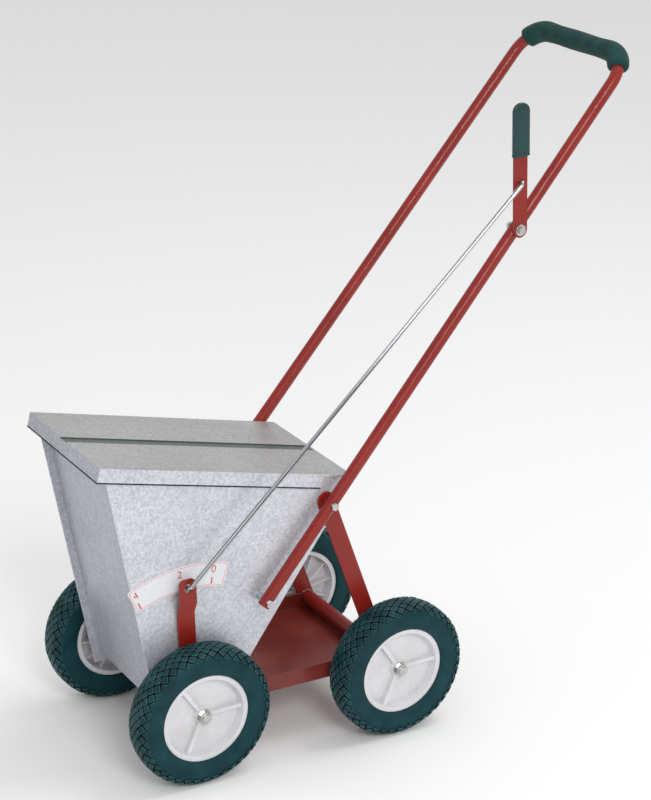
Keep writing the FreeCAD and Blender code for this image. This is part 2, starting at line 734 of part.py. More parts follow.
def is_arm_corner(edge):
    """Short edges across the bar's thickness at its two ends."""
    points = [vertex.Point for vertex in edge.Vertexes]
    if len(points) != 2 or abs(edge.Length - dims("arm_sheet")) > TOLERANCE:
        return False
    level = points[0].z
    same_height = abs(level - points[1].z) < TOLERANCE
    same_place = abs(points[0].y - points[1].y) < TOLERANCE
    above = level > dims("arm_top") - TOLERANCE
    below = level < -dims("arm_width") / 2 + TOLERANCE
    return same_height and same_place and (above or below)


def agitator():
    core = cylinder("agitator_core", "dims.agitator_core", "2 * dims.agitator_half")
    bore = cylinder("agitator_bore", "dims.axle_radius", "2 * dims.agitator_half")
    blades = []
    for name in ("upright", "level"):
        blade = doc.addObject("Part::Box", "agitator_blade_" + name)
        blade.setExpression("Height", "2 * dims.agitator_half")
        wide = "2 * dims.agitator_radius"
        thin = "dims.blade_sheet"
        upright = name == "upright"
        blade.setExpression("Length", wide if upright else thin)
        blade.setExpression("Width", thin if upright else wide)
        reach = -dims("agitator_radius")
        edge = -dims("blade_sheet") / 2
        corner = FreeCAD.Vector(reach if upright else edge, edge if upright else reach, 0)
        blade.Placement = FreeCAD.Placement(corner, FreeCAD.Rotation())
        blades.append(blade)
    part = cut("agitator", fuse("agitator_solid", [core] + blades), bore)
    single("agitator", lie(part, -dims("agitator_half"), 0, dims("wheel_radius")))


# ---------------------------------------------------------------- wheels

def hub(label, side, track, back, bore):
    """Moulded wheel centre: rim, web, barrel, three ribs outside, twelve inside."""
    body = new_body(label)
    lip = "(dims.rim_half - dims.rim_lip)"
    section = new_sketch(body, "XZ_Plane", "section")
    polygon(section, (
        ("-dims.barrel_inner", bore),
        ("dims.barrel_outer", bore),
        ("dims.barrel_outer", "dims.barrel_radius - dims.barrel_taper"),
        ("dims.web_outer", "dims.barrel_radius"),
        ("dims.web_outer", "dims.rim_inside - dims.rim_taper"),
        ("dims.rim_half", "dims.rim_inside + dims.rim_flare"),
        ("dims.rim_half", "dims.rim_radius"),
        (lip, "dims.rim_radius"),
        (lip, "dims.seat_radius"),
        ("-" + lip, "dims.seat_radius"),
        ("-" + lip, "dims.rim_radius"),
        ("-dims.rim_half", "dims.rim_radius"),
        ("-dims.rim_half", "dims.rim_inside + dims.rim_flare"),
        ("dims.web_inner", "dims.rim_inside - dims.rim_taper"),
        ("dims.web_inner", "dims.barrel_radius"),
        ("-dims.barrel_inner", "dims.barrel_radius - dims.barrel_taper"),
    ))
    revolve(body, section)
    doc.recompute()
    root = "dims.barrel_radius - dims.barrel_taper - dims.rib_sunk"
    outside = (
        ("dims.web_outer - dims.rib_sunk", root),
        ("dims.barrel_outer - dims.rib_drop", root),
        ("dims.rim_half - dims.rib_rim_drop", "dims.rim_inside"),
        ("dims.web_outer - dims.rib_sunk", "dims.rim_inside"),
    )
    inside = (
        ("dims.web_inner + dims.rib_sunk", root),
        ("dims.fin_drop - dims.barrel_inner", root),
        ("dims.fin_rim_drop - dims.rim_half", "dims.rim_inside"),
        ("dims.web_inner + dims.rib_sunk", "dims.rim_inside"),
    )
    for name, corners, width, count in (
        ("rib", outside, "dims.rib_width", 3),
        ("fin", inside, "dims.fin_width", 12),
    ):
        outline = new_sketch(body, "XZ_Plane", name)
        polygon(outline, corners)
        one = pad(body, outline, width, midplane=True)
        doc.recompute()
        spokes = body.newObject("PartDesign::PolarPattern", "%s_%ss" % (label, name))
        spokes.Originals = [one]
        spokes.Axis = (section, ["H_Axis"])
        spokes.Angle = 360
        spokes.Occurrences = count
        body.Tip = spokes
        doc.recompute()
    place_wheel(body, side, track, back)


def tyre(label, side, track, back):
    body = new_body(label)
    lip = "(dims.rim_half - dims.rim_lip)"
    half = "dims.tyre_half"
    section = new_sketch(body, "XZ_Plane", "section")
    polygon(section, (
        ("-" + lip, "dims.seat_radius"),
        (lip, "dims.seat_radius"),
        (lip, "dims.rim_radius"),
        ("dims.rim_half", "dims.rim_radius"),
        (half, "dims.rim_radius + dims.tyre_bead"),
        (half, "dims.wheel_radius"),
        ("-" + half, "dims.wheel_radius"),
        ("-" + half, "dims.rim_radius + dims.tyre_bead"),
        ("-dims.rim_half", "dims.rim_radius"),
        ("-" + lip, "dims.rim_radius"),
    ))
    revolve(body, section)
    doc.recompute()
    corners = [name for name, edge in numbered(body.Shape.Edges, "Edge") if is_tread_edge(edge)]
    round_edges(body, corners, "dims.tyre_shoulder")
    place_wheel(body, side, track, back)


def is_tread_edge(edge):
    curve = edge.Curve
    return isinstance(curve, Part.Circle) and abs(curve.Radius - dims("wheel_radius")) < TOLERANCE


def axle_back(back):
    """Place of the axle behind the front axle: the sheet's name for it, or None."""
    return dims(back) if back else 0.0


def place_wheel(body, side, track, back):
    facing = FreeCAD.Rotation(FreeCAD.Vector(0, 0, 1), 0 if side > 0 else 180)
    rotation = turn_x(dims("rib_turn")).multiply(facing)
    put(body, side * dims(track), axle_back(back), dims("wheel_radius"), rotation)


def wheel_ring(name, side, track, back, inner_end, length, outer):
    """Washer or spacer on an axle, inner_end from the wheel centre, outwards."""
    part = ring(name, outer, "dims.axle_radius", length)
    start = dims(track) + inner_end
    x = start if side > 0 else -start - value(length)
    return lie(part, x, axle_back(back), dims("wheel_radius"))


def wheel_nut(name, side, track, back, inner_end):
    outside = hexagon(name + "_outside", "dims.nut_corner", "dims.nut_height")
    bore = cylinder(name + "_bore", "dims.axle_radius", "dims.nut_height")
    start = dims(track) + inner_end
    x = start if side > 0 else -start - dims("nut_height")
    return lie(cut(name, outside, bore), x, axle_back(back), dims("wheel_radius"))


SIDES = ((1, "right"), (-1, "left"))


def wheels():
    """Wheels with their tyres on both axles."""
    tight = "dims.axle_radius"
    loose = "dims.axle_radius + dims.run_gap"
    for side, word in SIDES:
        hub("front_hub_" + word, side, "front_track", None, tight)
        tyre("front_tyre_" + word, side, "front_track", None)
        hub("rear_hub_" + word, side, "rear_track", "wheelbase", loose)
        tyre("rear_tyre_" + word, side, "rear_track", "wheelbase")


def front_fasteners():
    """Washers, nuts and spacers that turn with the front axle."""
    outer = dims("barrel_outer")
    after_washer = outer + dims("wheel_washer")
    gate_end_face = dims("sleeve_end") + dims("side_gap") - dims("front_track")
    reach = "dims.front_track - dims.barrel_inner - dims.sleeve_end - dims.side_gap"
    sizes = (
        ("washer", outer, "dims.wheel_washer", "dims.washer_radius"),
        ("spacer", gate_end_face, reach, "dims.wheel_spacer_radius"),
    )
    for kind, start, length, radius in sizes:
        rings = []
        for side, word in SIDES:
            name = "front_%s_%s" % (kind, word)
            rings.append(wheel_ring(name, side, "front_track", None, start, length, radius))
        group("front_wheel_%ss" % kind, rings)
    nuts = []
    for side, word in SIDES:
        nuts.append(wheel_nut("front_nut_" + word, side, "front_track", None, after_washer))
    group("front_wheel_nuts", nuts)


def rear_fasteners():
    """Washers, nuts and spacers on the fixed rear axle."""
    outer = dims("barrel_outer") + dims("side_gap")
    after_washer = outer + dims("wheel_washer")
    pan_face = dims("pan_half") - dims("rear_track")
    strut_face = dims("hopper_half") + dims("arm_sheet") - dims("rear_track")
    bar = "dims.hopper_half + dims.arm_sheet"
    reach = "dims.rear_track - dims.barrel_inner - dims.side_gap - (%s)" % bar
    sizes = (
        ("rear_wheel_washers", outer, "dims.wheel_washer", "dims.washer_radius"),
        ("rear_wheel_spacers", strut_face, reach, "dims.wheel_spacer_radius"),
        ("pan_washers", pan_face, "dims.hopper_half - dims.pan_half", "dims.washer_radius"),
    )
    for label, start, length, radius in sizes:
        rings = []
        for side, word in SIDES:
            name = "%s_%s" % (label, word)
            rings.append(wheel_ring(name, side, "rear_track", "wheelbase", start, length, radius))
        group(label, rings)
    nuts = []
    for side, word in SIDES:
        nuts.append(wheel_nut("rear_nut_" + word, side, "rear_track", "wheelbase", after_washer))
    group("rear_wheel_nuts", nuts)


def axles():
    nut_end = "dims.barrel_outer + dims.wheel_washer + dims.nut_height + dims.axle_proud"
    front_half = "(dims.front_track + %s)" % nut_end
    rear_half = "(dims.rear_track + dims.side_gap + %s)" % nut_end
    for label, back, half in (
        ("front_axle", None, front_half),
        ("rear_axle", "wheelbase", rear_half),
    ):
        axle = cylinder(label, "dims.axle_radius", "2 * " + half)
        single(label, lie(axle, -value(half), axle_back(back), dims("wheel_radius")))


# ---------------------------------------------------------------- base frame

def base_pan():
    """Tray behind the hopper, its front edge turned up along the rear wall."""
    body = new_body("base_pan")
    outer = "dims.wall_recess"
    inner = "dims.wall_recess - dims.pan_sheet"
    top = "dims.pan_front_top"
    foot = "dims.pan_floor"
    floor = "(dims.pan_floor + dims.pan_sheet)"
    profile = new_sketch(body, "YZ_Plane", "profile")
    polygon(profile, (
        (rear_edge(foot, outer), foot),
        ("dims.pan_rear", foot),
        ("dims.pan_rear", floor),
        (rear_edge(floor, inner), floor),
        (rear_edge(top, inner), top),
        (rear_edge(top, outer), top),
    ))
    pad(body, profile, "2 * dims.pan_half", midplane=True)
    edges = new_sketch(body, "YZ_Plane", "edges")
    polygon(edges, (
        (rear_edge(foot, outer), foot),
        ("dims.pan_rear", foot),
        ("dims.pan_rear", "dims.pan_edge - dims.pan_corner"),
        ("dims.pan_rear - dims.pan_corner", "dims.pan_edge"),
        (rear_edge("dims.pan_edge", outer), "dims.pan_edge"),
    ))
    pad(body, edges, "2 * dims.pan_half", midplane=True)
    doc.recompute()
    hollow = new_sketch(body, "YZ_Plane", "hollow")
    above = "(dims.pan_front_top + dims.cut_clear)"
    behind = "dims.pan_rear + dims.cut_clear"
    polygon(hollow, (
        (rear_edge(floor, inner), floor),
        (behind, floor),
        (behind, above),
        (rear_edge(above, inner), above),
    ))
    inside = body.newObject("PartDesign::Pocket", "base_pan_inside")
    inside.Profile = hollow
    inside.Type = "Length"
    inside.setExpression("Length", "2 * (dims.pan_half - dims.pan_sheet)")
    inside.Midplane = True
    axle_hole = new_sketch(body, "YZ_Plane", "axle_hole")
    circle(axle_hole, "dims.wheelbase", "dims.wheel_radius", "dims.axle_radius")
    through = pocket(body, axle_hole)
    through.Midplane = True
    put(body)


def strut(label, side):
    """Flat bar from the handle's upper bolt down to the rear axle."""
    body = new_body(label)
    high = handle_point("dims.high_bolt_along")
    low = ("dims.wheelbase", "dims.wheel_radius")
    outline = new_sketch(body, "YZ_Plane", "outline")
    slot(outline, low, high, "dims.strut_end")
    circle(outline, low[0], low[1], "dims.axle_radius")
    circle(outline, high[0], high[1], "dims.bolt_radius")
    pad(body, outline, "dims.arm_sheet", reverse=side < 0)
    put(body, side * dims("hopper_half"))


def cross_tube():
    length = "2 * (dims.pan_half - dims.pan_sheet)"
    bore = "dims.axle_radius + dims.cross_gap"
    part = ring("rear_cross_tube", "dims.cross_radius", bore, length)
    start = dims("pan_sheet") - dims("pan_half")
    single("rear_cross_tube", lie(part, start, dims("wheelbase"), dims("wheel_radius")))


def pan_bolts():
    """Two short screws through the pan's front edge and the rear wall."""
    bolts = []
    length = "dims.pan_head + dims.pan_sheet + dims.sheet + dims.pan_bolt_tail"
    height = dims("pan_front_top") - dims("pan_bolt_drop")
    outer = value(rear_edge("%.3f" % height, "dims.wall_recess - dims.pan_sheet - dims.pan_head"))
    # local +Z points into the hopper, square to the rear wall
    into = turn_x(90 - dims("rear_lean"))
    for side, word in SIDES:
        head = cylinder("pan_bolt_head_" + word, "dims.pan_head_radius", "dims.pan_head")
        shank = cylinder("pan_bolt_shank_" + word, "dims.pan_bolt_radius", length)
        bolt = fuse("pan_bolt_" + word, [head, shank])
        put(bolt, side * dims("pan_bolt_side"), outer, height, into)
        bolts.append(bolt)
    group("pan_bolts", bolts)


# ---------------------------------------------------------------- handle

def handle_point(along):
    """Y and Z of a point of the tube's centre line."""
    back = "dims.handle_foot_back + %s * sin(dims.handle_lean * 1 deg)" % along
    height = "dims.handle_foot_height + %s * cos(dims.handle_lean * 1 deg)" % along
    return back, height


def handle_half(along):
    """Distance of the tube's centre line from the middle plane."""
    return "dims.handle_foot_half - (%s) * tan(dims.handle_splay * 1 deg)" % along


def place_handle(item):
    foot = (dims("handle_foot_back"), dims("handle_foot_height"))
    put(item, 0, foot[0], foot[1], turn_x(-dims("handle_lean")))


def bend_centre():
    """Centre of a bend in the handle's own plane, X and distance along."""
    bend = dims("handle_bend")
    up = dims("handle_reach") - bend
    lean = math.radians(dims("handle_splay"))
    across = dims("handle_foot_half") - up * math.tan(lean) - bend / math.cos(lean)
    return across, up


def handle_tube():
    body = new_body("handle_tube")
    across, up = bend_centre()
    bend = dims("handle_bend")
    lean = math.radians(dims("handle_splay"))
    reach = dims("handle_reach")
    foot = dims("handle_foot_half")
    meet = FreeCAD.Vector(across + bend * math.cos(lean), up + bend * math.sin(lean), 0)
    normal = FreeCAD.Vector(0, 0, 1)
    right = Part.Circle(FreeCAD.Vector(across, up, 0), normal, bend)
    left = Part.Circle(FreeCAD.Vector(-across, up, 0), normal, bend)
    quarter = math.pi / 2
    path = new_sketch(body, "XZ_Plane", "path")
    add = path.addGeometry
    leg = add(Part.LineSegment(FreeCAD.Vector(foot, 0, 0), meet), False)
    bend_right = add(Part.ArcOfCircle(right, lean, quarter), False)
    bar = add(Part.LineSegment(FreeCAD.Vector(across, reach, 0), FreeCAD.Vector(-across, reach, 0)), False)
    bend_left = add(Part.ArcOfCircle(left, quarter, math.pi - lean), False)
    far = add(Part.LineSegment(FreeCAD.Vector(-meet.x, meet.y, 0), FreeCAD.Vector(-foot, 0, 0)), False)
    path.addConstraint(Sketcher.Constraint("Tangent", leg, 2, bend_right, 1))
    path.addConstraint(Sketcher.Constraint("Tangent", bend_right, 2, bar, 1))
    path.addConstraint(Sketcher.Constraint("Tangent", bar, 2, bend_left, 1))
    path.addConstraint(Sketcher.Constraint("Tangent", bend_left, 2, far, 1))
    angle = Sketcher.Constraint("Angle", leg, quarter + lean)
    fix_number(path, angle, "(90 + dims.handle_splay) * 1 deg")
    path.addConstraint(Sketcher.Constraint("Symmetric", bar, 1, bar, 2, -2))
    path.addConstraint(Sketcher.Constraint("Symmetric", leg, 1, far, 2, -2))
    fix_point(path, leg, 1, "dims.handle_foot_half", "0")
    height = Sketcher.Constraint("DistanceY", -1, 1, bar, 1, reach)
    fix_number(path, height, "dims.handle_reach")
    fix_number(path, Sketcher.Constraint("Radius", bend_right, bend), "dims.handle_bend")
    fix_number(path, Sketcher.Constraint("Radius", bend_left, bend), "dims.handle_bend")
    section = new_sketch(body, "XY_Plane", "section")
    circle(section, "dims.handle_foot_half", "0", "dims.tube_radius")
    circle(section, "dims.handle_foot_half", "0", "dims.tube_radius - dims.tube_wall")
    tube = body.newObject("PartDesign::AdditivePipe", "handle_tube_bent")
    tube.Profile = section
    tube.Spine = path
    doc.recompute()
    holes = new_sketch(body, "YZ_Plane", "holes")
    for along in ("dims.low_bolt_along", "dims.high_bolt_along"):
        circle(holes, "0", along, "dims.bolt_radius")
    drilled = pocket(body, holes)
    drilled.Midplane = True
    pivot = new_sketch(body, "YZ_Plane", "pivot")
    circle(pivot, "0", pivot_along(), "dims.pivot_radius")
    pivot_hole = pocket(body, pivot)
    pivot_hole.Reversed = True
    place_handle(body)


def pivot_along():
    """Distance of the lever pivot along the tube."""
    return "(dims.lever_back - dims.handle_foot_back) / sin(dims.handle_lean * 1 deg)"


def grip_shape(name, radius):
    """Round bar along the crossbar and round most of both bends."""
    across, up = bend_centre()
    middle = cylinder(name + "_bar", radius, "%.4f" % (2 * across))
    start = FreeCAD.Vector(-across, 0, dims("handle_reach"))
    middle.Placement = FreeCAD.Placement(start, ALONG_X)
    parts = [middle]
    for side, word in SIDES:
        bend = doc.addObject("Part::Torus", "%s_%s" % (name, word))
        bend.setExpression("Radius1", "dims.handle_bend")
        bend.setExpression("Radius2", radius)
        bend.setExpression("Angle3", "dims.grip_turn")
        # the torus lies in XY; stand it in XZ with its sweep ending at the top
        start_angle = 90.0 - dims("grip_turn") if side > 0 else 90.0
        rotation = turn_x(90).multiply(FreeCAD.Rotation(FreeCAD.Vector(0, 0, 1), start_angle))
        bend.Placement = FreeCAD.Placement(FreeCAD.Vector(side * across, 0, up), rotation)
        parts.append(bend)
    return fuse(name, parts)


def handle_grip():
    outside = grip_shape("grip_outside", "dims.grip_radius")
    bore = grip_shape("grip_bore", "dims.tube_radius")
    place_handle(single("handle_grip", cut("handle_grip", outside, bore)))


def handle_bolt(name, length):
    """Hexagon bolt, its tail end at the origin and its head at +Z."""
    shank = cylinder("bolt_shank_" + name, "dims.bolt_radius", str(length))
    head = hexagon("bolt_head_" + name, "dims.bolt_corner", "dims.bolt_head")
    head.Placement = FreeCAD.Placement(FreeCAD.Vector(0, 0, length), FreeCAD.Rotation())
    return fuse("bolt_" + name, [shank, head])


def handle_nut(name):
    outside = hexagon("nut_body_" + name, "dims.bolt_corner", "dims.bolt_nut")
    bore = cylinder("nut_bore_" + name, "dims.bolt_radius", "dims.bolt_nut")
    return cut("nut_" + name, outside, bore)


def handle_fasteners():
    """Bolt, nut and spacer at both bolts of both legs."""
    bolts = []
    nuts = []
    spacers = []
    inner = dims("hopper_half") - dims("sheet")
    for along, word, inside in (
        ("dims.low_bolt_along", "low", dims("hopper_half")),
        ("dims.high_bolt_along", "high", dims("hopper_half") + dims("arm_sheet")),
    ):
        back, height = (value(number) for number in handle_point(along))
        centre = value(handle_half(along))
        length = round(centre + dims("tube_radius") - inner + dims("bolt_tail"), 3)
        gap = "%.3f" % (centre - dims("tube_radius") - inside)
        for side, hand in SIDES:
            name = "%s_%s" % (word, hand)
            turn = FreeCAD.Rotation(FreeCAD.Vector(0, 1, 0), side * 90)
            bolt = handle_bolt(name, length)
            put(bolt, side * (inner - dims("bolt_tail")), back, height, turn)
            bolts.append(bolt)
            nut = handle_nut(name)
            put(nut, side * (inner - dims("bolt_nut")), back, height, turn)
            nuts.append(nut)
            spacer = ring("spacer_" + name, "dims.spacer_radius", "dims.bolt_radius", gap)
            put(spacer, side * inside, back, height, turn)
            spacers.append(spacer)
    group("handle_bolts", bolts)
    group("handle_nuts", nuts)
    group("handle_spacers", spacers)


# ---------------------------------------------------------------- lever and rod

def place_lever(item, x):
    put(item, x, dims("lever_back"), dims("lever_height"), turn_x(dims("lever_lean")))


def lever_bar():
    body = new_body("lever_bar")
    outline = new_sketch(body, "YZ_Plane", "outline")
    half = "dims.lever_width / 2"
    slot(outline, ("0", "0"), ("0", "dims.lever_top - " + half), half)
    circle(outline, "0", "0", "dims.pivot_radius + dims.run_gap")
    circle(outline, "0", "dims.lever_hook", "dims.rod_radius + dims.run_gap")
    pad(body, outline, "dims.arm_sheet")
    place_lever(body, dims("lever_face"))


def lever_grip():
    """Vinyl sleeve over the top of the bar, closed at the top."""
    body = new_body("lever_grip")
    wall = "dims.lever_grip_wall"
    half = "(dims.lever_width / 2 + %s)" % wall
    outline = new_sketch(body, "YZ_Plane", "outline")
    corner = "dims.lever_grip_corner"
    top = "(dims.lever_grip_top - %s)" % corner
    polygon(outline, (
        ("-" + half, "dims.lever_grip_foot"),
        (half, "dims.lever_grip_foot"),
        (half, top),
        (half + " - " + corner, "dims.lever_grip_top"),
        (corner + " - " + half, "dims.lever_grip_top"),
        ("-" + half, top),
    ))
    pad(body, outline, "dims.arm_sheet + 2 * dims.lever_grip_wall", midplane=True)
    doc.recompute()
    bar = new_sketch(body, "YZ_Plane", "bar")
    bar_half = "(dims.lever_width / 2)"
    low = ("0", "dims.lever_grip_foot - " + bar_half)
    high = ("0", "dims.lever_top - " + bar_half)
    slot(bar, low, high, bar_half)
    hollow = body.newObject("PartDesign::Pocket", "lever_grip_hollow")
    hollow.Profile = bar
    hollow.Type = "Length"
    hollow.setExpression("Length", "dims.arm_sheet")
    hollow.Midplane = True
    place_lever(body, dims("lever_face") + dims("arm_sheet") / 2)


def lever_pivot():
    """Bolt through tube and lever, washers each side of the bar, nut inside."""
    back = dims("lever_back")
    height = dims("lever_height")
    centre = value(handle_half(pivot_along()))
    tube_out = centre + dims("tube_radius")
    tube_in = centre - dims("tube_radius")
    bore = "dims.pivot_radius"
    gap = dims("pivot_gap")
    inner_length = dims("lever_face") - gap - tube_out
    inner_washer = ring("pivot_washer_inner", "dims.pivot_spacer_radius", bore, "%.3f" % inner_length)
    lie(inner_washer, tube_out, back, height)
    outer_face = dims("lever_face") + dims("arm_sheet") + gap
    outer_washer = ring("pivot_washer_outer", "dims.pivot_washer_radius", bore, "dims.pivot_washer")
    lie(outer_washer, outer_face, back, height)
    group("lever_pivot_washers", [inner_washer, outer_washer])
    length = round(outer_face + dims("pivot_washer") - tube_in + dims("pivot_tail"), 3)
    shank = cylinder("pivot_shank", bore, str(length))
    head = hexagon("pivot_head", "dims.pivot_corner", "dims.pivot_head")
    head.Placement = FreeCAD.Placement(FreeCAD.Vector(0, 0, length), FreeCAD.Rotation())
    bolt = fuse("lever_pivot_bolt", [shank, head])
    single("lever_pivot_bolt", lie(bolt, tube_in - dims("pivot_tail"), back, height))
    nut_outside = hexagon("pivot_nut_body", "dims.pivot_corner", "dims.pivot_nut")
    nut_bore = cylinder("pivot_nut_bore", bore, "dims.pivot_nut")
    nut = cut("lever_pivot_nut", nut_outside, nut_bore)
    single("lever_pivot_nut", lie(nut, tube_in - dims("pivot_nut"), back, height))


def hook_point():
    """Y and Z of the rod's hole in the lever."""
    lean = math.radians(dims("lever_lean"))
    reach = dims("lever_hook")
    back = dims("lever_back") - reach * math.sin(lean)
    height = dims("lever_height") + reach * math.cos(lean)
    return back, height


def arm_point():
    """Y and Z of the rod's lower end in the gate arm."""
    lean = math.radians(dims("arm_lean"))
    along = dims("arm_slot_radius") + dims("rod_rest_along")
    behind = dims("rod_rest_across")
    back = -along * math.sin(lean) + behind * math.cos(lean)
    height = dims("wheel_radius") + along * math.cos(lean) + behind * math.sin(lean)
    return back, height


def control_rod():
    """Round rod with both ends bent inwards, in a plane that holds the X axis."""
    body = new_body("control_rod")
    high = hook_point()
    low = arm_point()
    length = math.hypot(high[0] - low[0], high[1] - low[1])
    lean = math.degrees(math.atan2(high[0] - low[0], high[1] - low[1]))
    bend = dims("rod_bend")
    bottom = dims("rod_low_side") - dims("rod_low_tip")
    top = dims("rod_high_side") - dims("rod_low_tip")
    tip = dims("rod_high_tip") - dims("rod_low_tip")
    vector = FreeCAD.Vector
    corners = [vector(0, 0, 0), vector(bottom, 0, 0), vector(top, length, 0), vector(tip, length, 0)]
    path = new_sketch(body, "XZ_Plane", "path")
    lines = []
    arcs = []
    start = corners[0]
    for index in (1, 2):
        before = (corners[index - 1] - corners[index]).normalize()
        after = (corners[index + 1] - corners[index]).normalize()
        half_turn = before.getAngle(after) / 2
        setback = bend / math.tan(half_turn)
        enter = corners[index] + before * setback
        leave = corners[index] + after * setback
        middle = (before + after).normalize()
        centre = corners[index] + middle * (bend / math.sin(half_turn))
        crest = centre - middle * bend
        lines.append(path.addGeometry(Part.LineSegment(start, enter), False))
        arcs.append(path.addGeometry(Part.Arc(enter, crest, leave), False))
        start = leave
    lines.append(path.addGeometry(Part.LineSegment(start, corners[3]), False))
    path.addConstraint(Sketcher.Constraint("Tangent", lines[0], 2, arcs[0], 1))
    path.addConstraint(Sketcher.Constraint("Tangent", arcs[0], 2, lines[1], 1))
    path.addConstraint(Sketcher.Constraint("Tangent", lines[1], 2, arcs[1], 1))
    path.addConstraint(Sketcher.Constraint("Tangent", arcs[1], 2, lines[2], 1))
    path.addConstraint(Sketcher.Constraint("Horizontal", lines[0]))
    path.addConstraint(Sketcher.Constraint("Horizontal", lines[2]))
    for arc in arcs:
        fix_number(path, Sketcher.Constraint("Radius", arc, bend), "dims.rod_bend")
    fix_point(path, lines[0], 1, "0", "0")
    fix_point(path, lines[2], 2, "dims.rod_high_tip - dims.rod_low_tip", "%.4f" % length)
    section = new_sketch(body, "YZ_Plane", "section")
    circle(section, "0", "0", "dims.rod_radius")
    rod = body.newObject("PartDesign::AdditivePipe", "control_rod_bent")
    rod.Profile = section
    rod.Spine = path
    put(body, dims("rod_low_tip"), low[0], low[1], turn_x(-lean))


# ---------------------------------------------------------------- the machine

def build():
    for side, word in SIDES:
        side_panel("hopper_side_" + word, side)
    wall("hopper_front_wall", front_edge, "dims.front_wall_foot")
    wall("hopper_rear_wall", rear_edge, "dims.rear_wall_foot")
    trough()
    gauge_plate()
    lid()
    hinge()
    gate_shutter()
    group("gate_end_plates", [gate_end(side, "gate_end_" + word) for side, word in SIDES])
    gate_arm()
    agitator()
    wheels()
    front_fasteners()
    rear_fasteners()
    axles()
    base_pan()
    for side, word in SIDES:
        strut("strut_" + word, side)
    cross_tube()
    pan_bolts()
    handle_tube()
    handle_grip()
    handle_fasteners()
    lever_bar()
    lever_grip()
    lever_pivot()
    control_rod()
    doc.recompute()


def check():
    for item in doc.Objects:
        if "Invalid" in item.State or "Error" in item.State:
            raise RuntimeError("failed object: %s %s" % (item.Name, item.State))
    for node in nodes:
        shape = node.Shape
        if shape.isNull() or not shape.isValid() or not shape.Solids:
            raise RuntimeError("bad shape: " + node.Label)


def write():
    os.makedirs("parts", exist_ok=True)
    for node in nodes:
        node.Shape.exportStep("parts/%s.step" % node.Label)


build()
check()
write()
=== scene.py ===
import json
import math
import random

import bmesh
import bpy
from mathutils import Matrix, Vector


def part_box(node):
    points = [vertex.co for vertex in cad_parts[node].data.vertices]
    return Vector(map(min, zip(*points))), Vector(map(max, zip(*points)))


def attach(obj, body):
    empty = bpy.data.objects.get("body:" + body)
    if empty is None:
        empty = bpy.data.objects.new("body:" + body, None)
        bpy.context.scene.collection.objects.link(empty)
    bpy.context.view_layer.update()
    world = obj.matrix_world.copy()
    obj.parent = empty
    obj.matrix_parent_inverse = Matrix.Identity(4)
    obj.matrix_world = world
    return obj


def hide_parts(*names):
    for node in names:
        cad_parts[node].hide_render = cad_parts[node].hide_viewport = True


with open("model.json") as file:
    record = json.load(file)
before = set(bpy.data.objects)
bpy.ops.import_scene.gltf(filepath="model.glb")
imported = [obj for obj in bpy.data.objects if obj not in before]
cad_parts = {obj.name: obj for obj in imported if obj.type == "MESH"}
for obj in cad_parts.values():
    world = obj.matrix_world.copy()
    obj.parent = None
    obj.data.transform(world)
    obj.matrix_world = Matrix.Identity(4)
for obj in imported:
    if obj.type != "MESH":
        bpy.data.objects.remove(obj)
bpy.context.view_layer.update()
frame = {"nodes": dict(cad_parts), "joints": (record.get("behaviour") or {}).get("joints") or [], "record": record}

scene = bpy.context.scene

# ---------------------------------------------------------------- the frame

joint_places = {joint["name"]: Vector(joint["pos_m"]) for joint in frame["joints"]}
AXLE = joint_places["front_wheels_turn"]
LEVER_PIVOT = joint_places["lever_swing"]
MM = 0.001

# ---------------------------------------------------------------- camera

CAMERA_AZIMUTH = 58.4
CAMERA_ELEVATION = 20.96
CAMERA_ROLL = 2.13
CAMERA_LENS = 95.8
CAMERA_PLACE = AXLE + Vector((2.3780, -1.1980, 1.4312))


def make_camera():
    """The photo's viewpoint."""
    data = bpy.data.cameras.new("camera")
    data.lens = CAMERA_LENS
    data.sensor_width = 36.0
    data.clip_end = 50.0
    camera = bpy.data.objects.new("camera", data)
    scene.collection.objects.link(camera)
    turn = Matrix.Rotation(math.radians(CAMERA_AZIMUTH), 4, "Z")
    tip = Matrix.Rotation(math.radians(90.0 - CAMERA_ELEVATION), 4, "X")
    roll = Matrix.Rotation(math.radians(CAMERA_ROLL), 4, "Z")
    camera.matrix_world = Matrix.Translation(CAMERA_PLACE) @ turn @ tip @ roll
    scene.camera = camera


# ---------------------------------------------------------------- stage and light

FLOOR_REACH = 30.0
FLOOR_COLOR = (0.93, 0.93, 0.93, 1.0)
WORLD_STRENGTH = 0.72
LAMP_AIM = (0.0, 0.0, 0.4)


def make_stage():
    """Pale floor and a bright even world."""
    mesh = bpy.data.meshes.new("floor")
    reach = FLOOR_REACH
    corners = [(-reach, -reach, 0), (reach, -reach, 0), (reach, reach, 0), (-reach, reach, 0)]
    mesh.from_pydata(corners, [], [(0, 1, 2, 3)])
    floor = bpy.data.objects.new("floor", mesh)
    scene.collection.objects.link(floor)
    paint = bpy.data.materials.new("floor_paint")
    paint.use_nodes = True
    shader = paint.node_tree.nodes["Principled BSDF"]
    shader.inputs["Base Color"].default_value = FLOOR_COLOR
    shader.inputs["Roughness"].default_value = 0.9
    shader.inputs["Specular IOR Level"].default_value = 0.1
    mesh.materials.append(paint)
    world = bpy.data.worlds.new("studio")
    scene.world = world
    world.use_nodes = True
    background = world.node_tree.nodes["Background"]
    background.inputs["Color"].default_value = (1.0, 1.0, 1.0, 1.0)
    background.inputs["Strength"].default_value = WORLD_STRENGTH


